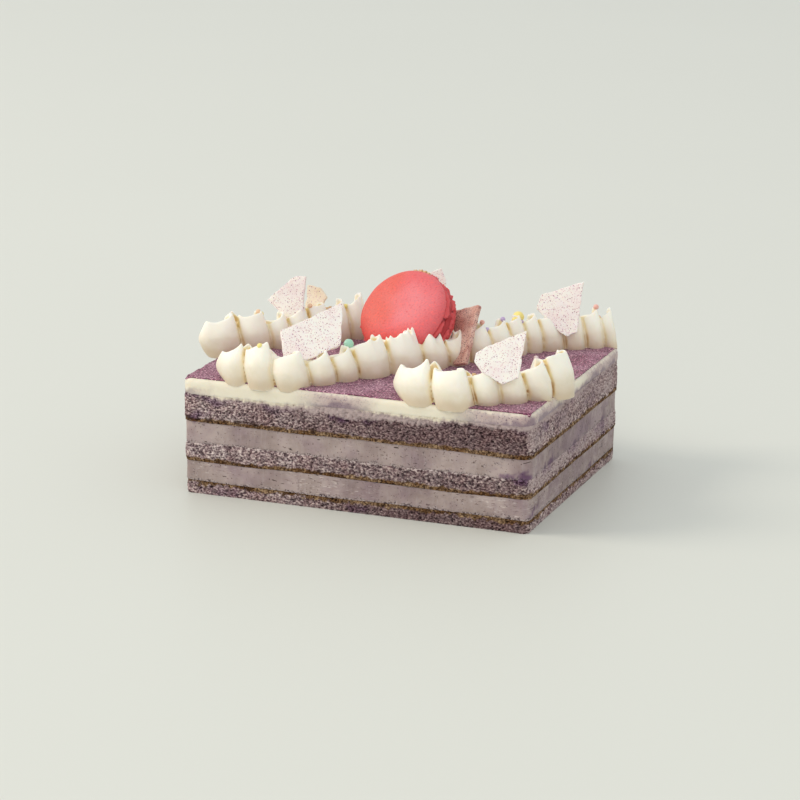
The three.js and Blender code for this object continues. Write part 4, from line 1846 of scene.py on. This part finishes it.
@dataclass
class Macaron:
    """A macaron of two domed shells with ruffled feet round a filling."""

    pose: Pose
    radius: float = 20.5
    dome: float = 6.2
    fullness: float = 0.62
    foot: float = 2.2
    waist: float = 0.9
    filling: float = 3.4
    filling_radius: float = 18.8
    gap: float = 0.15
    back_foot: float = 2.2
    around: int = 300
    foot_steps: int = 8
    dome_steps: int = 26
    filling_around: int = 160
    filling_grain: float = 0.45

    def profile(self) -> list[tuple[float, float]]:
        """Rings of the shell, from its flat side over the foot to the top.

        Returns:
            Radius and height of each ring in mm.
        """
        start = self.filling / 2 + self.gap
        rings = [(self.radius - 3.0, start), (self.radius - 1.4, start + 0.05)]
        for step in range(1, self.foot_steps):
            angle = step / self.foot_steps * math.pi
            out = self.radius - 1.2 + 1.6 * math.sin(angle) ** 0.7
            rings.append((out, start + self.foot * step / self.foot_steps))
        foot = start + self.foot
        rings.append((self.radius - self.waist, foot))
        for step in range(self.dome_steps):
            angle = step / self.dome_steps * math.pi / 2
            reach = (self.radius - 0.4) * math.cos(angle) ** self.fullness
            rings.append((reach, foot + 0.8 + (self.dome - 0.8) * math.sin(angle)))
        return rings

    def shell(self, name: str, flip: bool, finish: MacaronShell) -> Object:
        """Builds one shell by raising a disc ring by ring.

        Args:
            name: node that the shell stands for.
            flip: whether it is the back shell.
            finish: the shell's finish.

        Returns:
            The finished piece.
        """
        rings = self.profile()
        shell = start_piece(
            f"{name}_baked",
            bpy.ops.mesh.primitive_circle_add,
            vertices=self.around,
            radius=rings[0][0] * MM,
            fill_type="NGON",
            location=(0, 0, rings[0][1] * MM),
        )
        bpy.ops.object.transform_apply(location=True, rotation=False, scale=False)
        bpy.ops.object.mode_set(mode="EDIT")
        bpy.ops.mesh.select_all(action="SELECT")
        for (radius, height), (wider, higher) in itertools.pairwise(rings):
            step = {"value": (0, 0, (higher - height) * MM)}
            bpy.ops.mesh.extrude_region_move(TRANSFORM_OT_translate=step)
            size = wider / radius
            bpy.ops.transform.resize(value=(size, size, 1), center_override=(0, 0, higher * MM))
        bpy.ops.mesh.poke(offset=0.05 * MM)
        leave_closed()
        self.ruffle(shell, 40 if flip else 0)
        if flip:
            shell.rotation_euler = (math.pi, 0, 0)
            bpy.ops.object.transform_apply(location=False, rotation=True, scale=False)
        self.pose.settle(shell)
        return finish_piece(shell, finish.make(), [name])

    def ruffle(self, shell: Object, seed: int) -> None:
        """Tears the foot into bubbles and gives the dome its faint unevenness.

        Args:
            shell: the smooth shell.
            seed: picks the bubbles.
        """
        before = coordinates(shell)
        start = self.filling / 2 + self.gap
        reach = np.hypot(before[:, 0], before[:, 1])
        height = before[:, 2] - start
        tall = self.foot + (self.back_foot if seed else 0.5)
        foot = smooth((tall - height) / 0.5) * smooth((reach - self.radius + 3.5) / 1.5)
        points = before.copy()
        crags = 0.7 * wander(before, 1.4, 2 + seed) + 0.5 * wander(before, 0.8, 7 + seed)
        push = foot * (crags - 0.2)
        points[:, :2] += before[:, :2] / np.maximum(reach, BARELY)[:, None] * push[:, None]
        points[:, 2] += foot * 0.25 * wander(before, 1.3, 9 + seed) * smooth(height / 0.4)
        dome = smooth((height - self.foot - 0.6) / 1.5)
        points[:, 2] += dome * (0.22 * wander(before, 9.0, 5 + seed) + 0.05 * wander(before, 1.4, 6))
        move_vertices(shell, points)
        paint(shell, "foot", foot)
        # this depth also paints the foot's pits darker as painted shade
        paint(shell, "depth", push)
        # painted shade: the lower part of the shell is painted deeper red
        paint(shell, "low", smooth((-points[:, 1] - 6 + 4 * wander(points, 8.0, 3)) / 12))
        # painted light: a warmer coral on the side of the shell towards the lamp
        paint(shell, "coral", smooth((4 - points[:, 0] + 6 * wander(points, 8.0, 12)) / 14))
        # painted highlight: a pale patch to the upper right of the dome
        middle = np.hypot(points[:, 0] - 6, points[:, 1] - 5)
        paint(shell, "painted_highlight", 0.6 * smooth((16 - middle + 5 * wander(points, 7.0, 8)) / 14))

    def build(self, shell: MacaronShell, filling: MacaronFilling) -> None:
        """Builds the two shells and the filling.

        Args:
            shell: finish of the shells.
            filling: finish of the filling.
        """
        self.shell("macaron_shell_front", False, shell)
        self.shell("macaron_shell_back", True, shell)
        half = (self.filling / 2 + self.gap * 0.5) * MM
        core = start_piece(
            "macaron_filling_spread",
            bpy.ops.mesh.primitive_cylinder_add,
            vertices=self.filling_around,
            radius=self.filling_radius * MM,
            depth=2 * half,
        )
        bpy.ops.object.mode_set(mode="EDIT")
        cut_edges(core, 2, 1.0, self.filling_grain)
        bpy.ops.object.mode_set(mode="OBJECT")
        points = coordinates(core)
        reach = np.hypot(points[:, 0], points[:, 1])
        push = 1.2 + 0.5 * wander(points, 2.2, 15) + 0.4 * wander(points, 1.0, 16)
        points[:, :2] *= (1 + push / np.maximum(reach, BARELY) * (reach > 5))[:, None]
        move_vertices(core, points)
        self.pose.settle(core)
        finish_piece(core, filling.make(), ["macaron_filling"])


@dataclass
class Tile:
    """A broken plate of chocolate.

    Fields: the node, its pose, the corners of its outline, its thickness, the size of its facets
    and how far in from the outline the break reaches. Lengths are in mm.
    """

    node: str
    pose: Pose
    corners: tuple[tuple[float, float], ...]
    thickness: float = 2.0
    voxel: float = 0.33
    break_reach: float = 1.4

    def build(self, finish: SpeckledChocolate) -> Object:
        """Builds the plate from its outline, with broken edges.

        Args:
            finish: the chocolate's finish.

        Returns:
            The finished piece.
        """
        plate = start_piece(
            f"{self.node}_snapped",
            bpy.ops.mesh.primitive_circle_add,
            vertices=len(self.corners),
            radius=1.0,
            fill_type="NGON",
        )
        outline = np.array(self.corners)
        following = np.roll(outline, -1, axis=0)
        area = np.sum(outline[:, 0] * following[:, 1] - following[:, 0] * outline[:, 1])
        ring = outline if area > 0 else outline[::-1]
        flat = np.column_stack([ring, np.full(len(ring), -self.thickness / 2)])
        move_vertices(plate, flat)
        bpy.ops.object.mode_set(mode="EDIT")
        bpy.ops.mesh.select_all(action="SELECT")
        rise = {"value": (0, 0, self.thickness * MM)}
        bpy.ops.mesh.extrude_region_move(TRANSFORM_OT_translate=rise)
        leave_closed()
        apply_modifier(plate, "REMESH", mode="VOXEL", voxel_size=self.voxel * MM)
        apply_modifier(plate, "SMOOTH", factor=0.5, iterations=2)
        points = coordinates(plate)
        seed = int(self.node[-1])
        inward = np.full(len(points), np.inf)
        for a, b in zip(ring, np.roll(ring, -1, axis=0), strict=True):
            span = (b - a) / np.linalg.norm(b - a)
            away = span[0] * (points[:, 1] - a[1]) - span[1] * (points[:, 0] - a[0])
            inward = np.minimum(inward, away)
        near = smooth(1 - inward / self.break_reach)
        reach = np.linalg.norm(points[:, :2], axis=1)
        outward = points[:, :2] / np.maximum(reach, BARELY)[:, None]
        bite = near * (0.45 * fractal(points, 2.6, seed, 3) - 0.25)
        points[:, :2] += outward * bite[:, None]
        points[:, 2] += 0.12 * wander(points, 5.0, seed) + 0.05 * wander(points, 1.1, seed + 3)
        move_vertices(plate, points)
        self.pose.settle(plate)
        return finish_piece(plate, finish.make(), [self.node])


@dataclass(frozen=True)
class PearlSeat:
    """Where a pearl sits: its row, how far along it in folds, its share of the height, its size."""

    row: str
    fold: float
    rise: float
    radius: float


@dataclass
class PearlGroup:
    """All pearls of one colour as one piece.

    Fields: the name, the finish, the seats on the rows, the places X, Y and radius of those that
    lie loose on the powder, the places X, Y, Z and radius of the others, the share of the radius
    that is sunk, how uneven they are, how high the powder lies under the loose ones, and whether
    the solids have them too. Lengths are in mm.
    """

    name: str
    finish: SugarPearl | BakedCrumb
    seats: tuple[PearlSeat, ...]
    loose: tuple[tuple[float, float, float], ...] = ()
    placed: tuple[tuple[float, float, float, float], ...] = ()
    sink: float = 0.35
    rough: float = 0.03
    powder: float = 0.35
    fused: bool = True

    def build(self, rows: dict[str, Piping]) -> Object:
        """Models one pearl, copies it to every seat and joins the copies.

        Args:
            rows: the piped rows by their nodes.

        Returns:
            The finished piece.
        """
        spots = list(self.placed)
        for seat in self.seats:
            x, y, z = rows[seat.row].seat(seat.fold, seat.rise)
            spots.append((x, y, z + seat.radius * (1 - self.sink), seat.radius))
        for x, y, radius in self.loose:
            spots.append((x, y, PLAN.height + self.powder + radius * (1 - self.sink), radius))
        pearl = start_piece(
            self.name, bpy.ops.mesh.primitive_uv_sphere_add, segments=20, ring_count=12, radius=MM
        )
        base = coordinates(pearl)
        base *= (1 + self.rough * wander(base * 3, 1.2, 4))[:, None]
        copies = []
        for x, y, z, radius in spots:
            copy = pearl.copy()
            copy.data = pearl.data.copy()
            bpy.context.scene.collection.objects.link(copy)
            move_vertices(copy, base * radius + np.array([x, y, z]))
            copies.append(copy)
        bpy.ops.object.select_all(action="DESELECT")
        for copy in copies:
            copy.select_set(True)
        bpy.context.view_layer.objects.active = copies[0]
        bpy.data.objects.remove(pearl)
        if len(copies) > 1:
            bpy.ops.object.join()
        joined = bpy.context.view_layer.objects.active
        joined.name = self.name
        nodes = sorted({seat.row for seat in self.seats}) or ["cream_topping"]
        return finish_piece(joined, self.finish.make(), nodes if self.fused else [])


@dataclass
class Studio:
    """Pale floor, soft light and the camera at the photograph's angle."""

    camera_at: tuple[float, float, float] = (420.37, -1111.90, 357.99)
    heading: float = 20.825
    pitch: float = 74.727
    roll: float = 0.578
    lens: float = 128.52
    nearest: float = 0.05
    farthest: float = 100.0
    floor_size: float = 30.0
    floor_tones: tuple[str, str] = ("#d8dad3", "#d6d8d1")
    floor_cloud_mm: float = 300.0
    room_tone: str = "#eef0f0"
    room_strength: float = 0.93
    aim: tuple[float, float, float] = (0.0, 0.0, 0.045)

    def floor(self) -> None:
        """Lays a large pale floor with a soft satin surface."""
        floor = start_piece("floor", bpy.ops.mesh.primitive_plane_add, size=self.floor_size)
        material, tree, shader, place = Finish("pale_floor", roughness=0.5, specular=0.3).begin()
        colour = blend(tree, noise(tree, place, self.floor_cloud_mm, 1), *self.floor_tones)
        tree.links.new(colour, shader.inputs["Base Color"])
        floor.data.materials.append(material)

    def camera(self) -> None:
        """Puts the camera where the photograph was taken from."""
        lens = bpy.data.cameras.new("photo_camera")
        lens.lens = self.lens
        lens.clip_start = self.nearest
        lens.clip_end = self.farthest
        camera = bpy.data.objects.new("photo_camera", lens)
        bpy.context.scene.collection.objects.link(camera)
        camera.matrix_world = (
            Matrix.Translation(Vector(self.camera_at) * MM)
            @ Matrix.Rotation(math.radians(self.heading), 4, "Z")
            @ Matrix.Rotation(math.radians(self.pitch), 4, "X")
            @ Matrix.Rotation(math.radians(self.roll), 4, "Z")
        )
        bpy.context.scene.camera = camera

    def softbox(
        self, name: str, at: tuple[float, float, float], size: float, watts: float, tint: str
    ) -> None:
        """Hangs a square soft light that points at the cake.

        Args:
            name: name of the light.
            at: its place in metres.
            size: length of its side in metres.
            watts: its power.
            tint: sRGB hex colour of its light.
        """
        light = bpy.data.lights.new(name, "AREA")
        light.shape = "SQUARE"
        light.size = size
        light.energy = watts
        light.color = linear(tint)[:3]
        box = bpy.data.objects.new(name, light)
        box.location = at
        box.rotation_euler = (Vector(self.aim) - Vector(at)).to_track_quat("-Z", "Y").to_euler()
        bpy.context.scene.collection.objects.link(box)

    def lights(self) -> None:
        """Lights the cake softly from a window at the left and a weaker one in front, with a pale
        room around it."""
        world = bpy.data.worlds.new("pale_room")
        world.use_nodes = True
        background = world.node_tree.nodes["Background"]
        background.inputs["Color"].default_value = linear(self.room_tone)
        background.inputs["Strength"].default_value = self.room_strength
        bpy.context.scene.world = world
        self.softbox("window_left", (-3.0, -1.0, 2.3), size=1.6, watts=62.0, tint="#fff5e6")
        self.softbox("window_front", (1.2, -3.2, 1.9), size=2.2, watts=23.0, tint="#fdfaf4")
        bpy.context.scene.view_settings.view_transform = "Standard"
        bpy.context.scene.view_settings.look = "None"

    def build(self) -> None:
        """Sets the whole studio."""
        self.floor()
        self.camera()
        self.lights()


LEFT, CENTRE, RIGHT = "piped_cream_left", "piped_cream_centre", "piped_cream_right"

ROWS = (
    Piping(
        LEFT,
        ((-84.5, -18.5), (-68, -4), (-48, 18), (-34, 34), (-13, 57)),
        (14.6, 13, 9.8, 9.8, 9.4, 9.2, 9.2, 9.5, 9.5, 9.5),
        (15, 16, 14.5, 16, 17.5, 18, 18.5, 18, 17.5, 17),
        ((6.4, 0.9), (7.5, 0.9)),
        level=(0, 1, 4),
        start_low=0.1,
    ),
    Piping(
        CENTRE,
        ((-58.8, -55.5), (-30, -55.2), (-12, -35), (20, 6), (48, 44), (75, 63.5)),
        (11.4, 12.2, 13.1, 11.1, 11.3, 15.7, 16.1, 12.8, 10.7, 12.1, 10.8, 8, 8.2, 11.5, 10.2, 8.4, 6),
        (14.5, 17, 14, 12.5, 13.5, 17.5, 16.5, 14.5, 13.5, 16, 16, 16.5, 17, 15, 16, 17.5, 16),
        ((5.6, 1.3), (6.5, 2.0), (7.5, 2.4), (8.4, 2.4)),
        level=(0, 6, 7, 11, 13),
        kept=0.42,
    ),
    Piping(
        RIGHT,
        ((20.6, -55), (44, -55.6), (57, -47), (70, -34), (77, -20), (78.3, -16.3)),
        (14.8, 15.2, 10.2, 11.7, 11, 13.9),
        (15, 14, 14.5, 12.5, 15.3, 17.5),
        ((2.4, 0.7), (0.6, 0.6)),
        level=(0, 1, 5),
        lobes=1.5,
        start_low=0.15,
    ),
    Piping("piped_cream_rest", ((-9, 14), (11, 34)), (13, 13), (20, 20)),
)

TILES = (
    Tile(
        "chocolate_tile_1",
        Pose((-59.6, 8.5, 71.7), 8, 12),
        ((8.7, 9.8), (8.3, -9.4), (0.8, -9.8), (-8.7, -1.9), (1.7, 7.9), (3.9, 9.4)),
    ),
    Tile(
        "chocolate_tile_2",
        Pose((-24.8, -43.8, 71.1), 36, 32),
        ((14.3, 12.6), (11.0, -6.7), (-4.3, -12.6), (-14.3, -10.5), (-14.1, 1.3)),
    ),
    Tile(
        "chocolate_tile_3",
        Pose((23.2, 6.8, 63.8), -41, 27),
        ((3.7, 14.2), (12.5, -11.4), (5.0, -14.2), (-12.5, 7.5)),
    ),
    Tile(
        "chocolate_tile_4",
        Pose((59.9, -49.9, 70.2), 22, 20),
        ((10.7, 11.1), (7.4, -8.4), (0.5, -11.1), (-8.0, -6.1), (-10.7, -1.9), (-10.2, 1.8), (-5.0, 4.9)),
    ),
    Tile(
        "chocolate_tile_5",
        Pose((54.5, 44.4, 69.4), 14, 16),
        ((10.3, 12.3), (8.2, -10.4), (3.7, -12.3), (-1.2, -9.5), (-10.3, -0.6), (-8.4, 5.8)),
    ),
    Tile(
        "chocolate_tile_6",
        Pose((-10.4, 52.7, 71.4), 18, 10),
        ((6.6, 8.6), (9.0, 2.8), (8.3, -7.5), (-6.0, -10.1), (-9.0, 3.2)),
    ),
    Tile(
        "chocolate_tile_7",
        Pose((-51.3, 23.6, 67.8), 5, 15),
        ((-4.7, 6.6), (1.4, 5.7), (5.0, 1.5), (2.6, -3.3), (-5.0, -6.6)),
    ),
)

MACARON = Macaron(Pose((-1.2, 5.4, 68.6), -13.2, 39.4))

FLAKES = ((-2.5, 19.9, 4.6, 1.0), (0, 20.2, 4.4, 1.2), (2.4, 20.0, 4.8, 1.0), (4.2, 19.7, 4.6, 0.8))


def on_macaron(
    spots: tuple[tuple[float, float, float, float], ...],
) -> tuple[tuple[float, float, float, float], ...]:
    """Places on the cake of spots on the macaron, each with its radius behind it, in mm."""
    turned = MACARON.pose.matrix()
    return tuple((*((turned @ (Vector(spot[:3]) * MM)) / MM), spot[3]) for spot in spots)


def pearls(
    colour: str, body: str, *seats: PearlSeat, loose: tuple[tuple[float, float, float], ...] = ()
) -> PearlGroup:
    """Groups the sugar pearls of one colour.

    Args:
        colour: its name.
        body: its sRGB hex colour.
        *seats: where they sit on the rows.
        loose: where they lie on the powder, with the radius of each.

    Returns:
        The group.
    """
    glaze = SugarPearl(
        f"sugar_pearl_{colour}", roughness=0.35, specular=0.5, scatter=0.15, body=body
    )
    return PearlGroup("pearl_fallen" if loose else f"pearls_{colour}", glaze, seats, loose)


def pearl_groups() -> list[PearlGroup]:
    """The pearls of each colour, and the crumbs, with their seats.

    Returns:
        One group for each piece.
    """
    return [
        pearls(
            "yellow",
            "#f5e38a",
            PearlSeat(LEFT, 2.03, 1, 1.2),
            PearlSeat(LEFT, 5.0, 0.8, 1.3),
            PearlSeat(LEFT, 6.35, 1, 1.1),
            PearlSeat(CENTRE, 1.55, 1, 1.2),
            PearlSeat(CENTRE, 11.74, 0.85, 1.5),
            PearlSeat(CENTRE, 12.12, 1, 2.5),
        ),
        pearls("green", "#d7e08a", PearlSeat(CENTRE, 11.75, 0.6, 1.5)),
        pearls("mint", "#a9dcc6", PearlSeat(CENTRE, 5.07, 1, 2.15)),
        pearls("cyan", "#b4e2ea", PearlSeat(CENTRE, 10.08, 1, 1.5)),
        pearls(
            "lavender",
            "#c3b1d8",
            PearlSeat(CENTRE, 10.33, 1, 1.1),
            PearlSeat(CENTRE, 10.65, 1, 1.1),
            PearlSeat(CENTRE, 12.29, 1, 1.1),
        ),
        pearls(
            "pink",
            "#eab5a8",
            PearlSeat(LEFT, 6.15, 1, 1.1),
            PearlSeat(CENTRE, 9.66, 1, 1.1),
            PearlSeat(CENTRE, 15.66, 1, 1.2),
            PearlSeat(CENTRE, 16.06, 0.8, 1.6),
        ),
        pearls("orange", "#efc9a6", PearlSeat(LEFT, 1.71, 1, 1.1), PearlSeat(LEFT, 4.4, 1, 1.1)),
        pearls("white", "#f3dcd8", loose=((50.8, 24.3, 1.1),)),
        PearlGroup(
            "crumbs_toasted",
            BakedCrumb("toasted_crumb", roughness=0.9, specular=0.2),
            seats=(
                PearlSeat(RIGHT, 1.84, 0.85, 1.1),
                PearlSeat(RIGHT, 2.18, 1, 0.9),
                PearlSeat(RIGHT, 4.63, 0.85, 1.2),
                PearlSeat(CENTRE, 14.1, 0.7, 1.1),
                PearlSeat(LEFT, 5.3, 1, 1.0),
                PearlSeat(LEFT, 5.42, 1, 0.8),
            ),
            placed=on_macaron(FLAKES),
            rough=0.35,
            fused=False,
        ),
    ]


def build_body() -> None:
    """Builds the layers of the cake with the topping and its powder."""
    sponge = TaroSponge("taro_sponge", roughness=0.95, specular=0.12, scatter=0.05, scatter_mm=0.6)
    mousse = LilacMousse("lilac_mousse", roughness=0.55, specular=0.3, scatter=0.12, scatter_mm=1.2)
    topping = ToppingCream("topping_cream", roughness=0.5, scatter=0.2, scatter_mm=1.5)
    SpongeLayer(
        "sponge_base", bottom=0, top=5.8, inset=1.4, bulge=0.2, corner=2.5,
        skin_on_top=True, rubbed_mm=0.6, ragged=1.5,
    ).build(sponge)
    MousseLayer(
        "mousse_lower", bottom=5.8, top=14.7, inset=1.0, bulge=-0.1, corner=3.0,
        dirty=1.0, rubbed=0.7,
    ).build(mousse)
    SpongeLayer(
        "sponge_middle", bottom=14.7, top=22.6, inset=0.7, bulge=0.2, corner=3.5,
        wiped=2.2, side_veil=0.6, ragged=0.9, right_shade=0.6,
    ).build(sponge)
    MousseLayer(
        "mousse_upper", bottom=22.6, top=32, inset=0.7, bulge=-0.1, corner=4.0,
        dirty=0.8, rubbed=0.1,
    ).build(mousse)
    SpongeLayer(
        "sponge_top", bottom=32, top=44.8, inset=0.3, bulge=0.2, corner=4.5, softness=0.05,
        rubbed_mm=0.5, haze=0.7, veil=0.9,
    ).build(sponge)
    Topping(
        "cream_topping", bottom=44.8, top=50.4, inset=0.2, bulge=0.1, corner=5.0, softness=0.05
    ).build(topping)
    powder = TaroPowder("taro_powder", roughness=0.9, specular=0.2, sheen=0.2)
    PowderSheet().build(powder)


def build_toppings() -> None:
    """Builds the piped rows, the macaron, the chocolate plates and the pearls."""
    cream = WhippedCream("whipped_cream", roughness=0.42, scatter=0.3, scatter_mm=1.8)
    rows = {row.node: row for row in ROWS}
    for row in ROWS:
        row.build(cream)
    MACARON.build(
        MacaronShell(
            "macaron_shell", roughness=0.5, scatter=0.12, scatter_mm=1.2, scatter_tint=(1.0, 0.3, 0.2)
        ),
        MacaronFilling("macaron_filling", roughness=0.6),
    )
    chocolate = SpeckledChocolate(
        "speckled_white_chocolate", roughness=0.5, scatter=0.2, scatter_mm=1.2
    )
    finishes = {
        # painted shade: plate 3 gets a darker copy of the chocolate for the shade it lies in beside the
        # macaron, with denser specks
        "chocolate_tile_3": SpeckledChocolate(
            "shaded_white_chocolate",
            roughness=0.5,
            scatter=0.2,
            scatter_mm=1.2,
            body="#e6c6b6",
            haze="#c79484",
            dot="#5a2a33",
            fine_dot="#9c5f64",
            density=0.8,
        ),
        # plate 7 gets a tan copy of the chocolate with fewer specks
        "chocolate_tile_7": SpeckledChocolate(
            "tan_white_chocolate",
            roughness=0.6,
            scatter=0.1,
            body="#f6ead6",
            haze="#e9d8bd",
            density=0.3,
        ),
    }
    for tile in TILES:
        tile.build(finishes.get(tile.node, chocolate))
    for group in pearl_groups():
        group.build(rows)


def main() -> None:
    """Builds the studio and the cake."""
    logging.basicConfig(level=logging.INFO, format="%(name)s %(message)s")
    Studio().build()
    build_body()
    build_toppings()


if __name__ == "__main__":
    main()
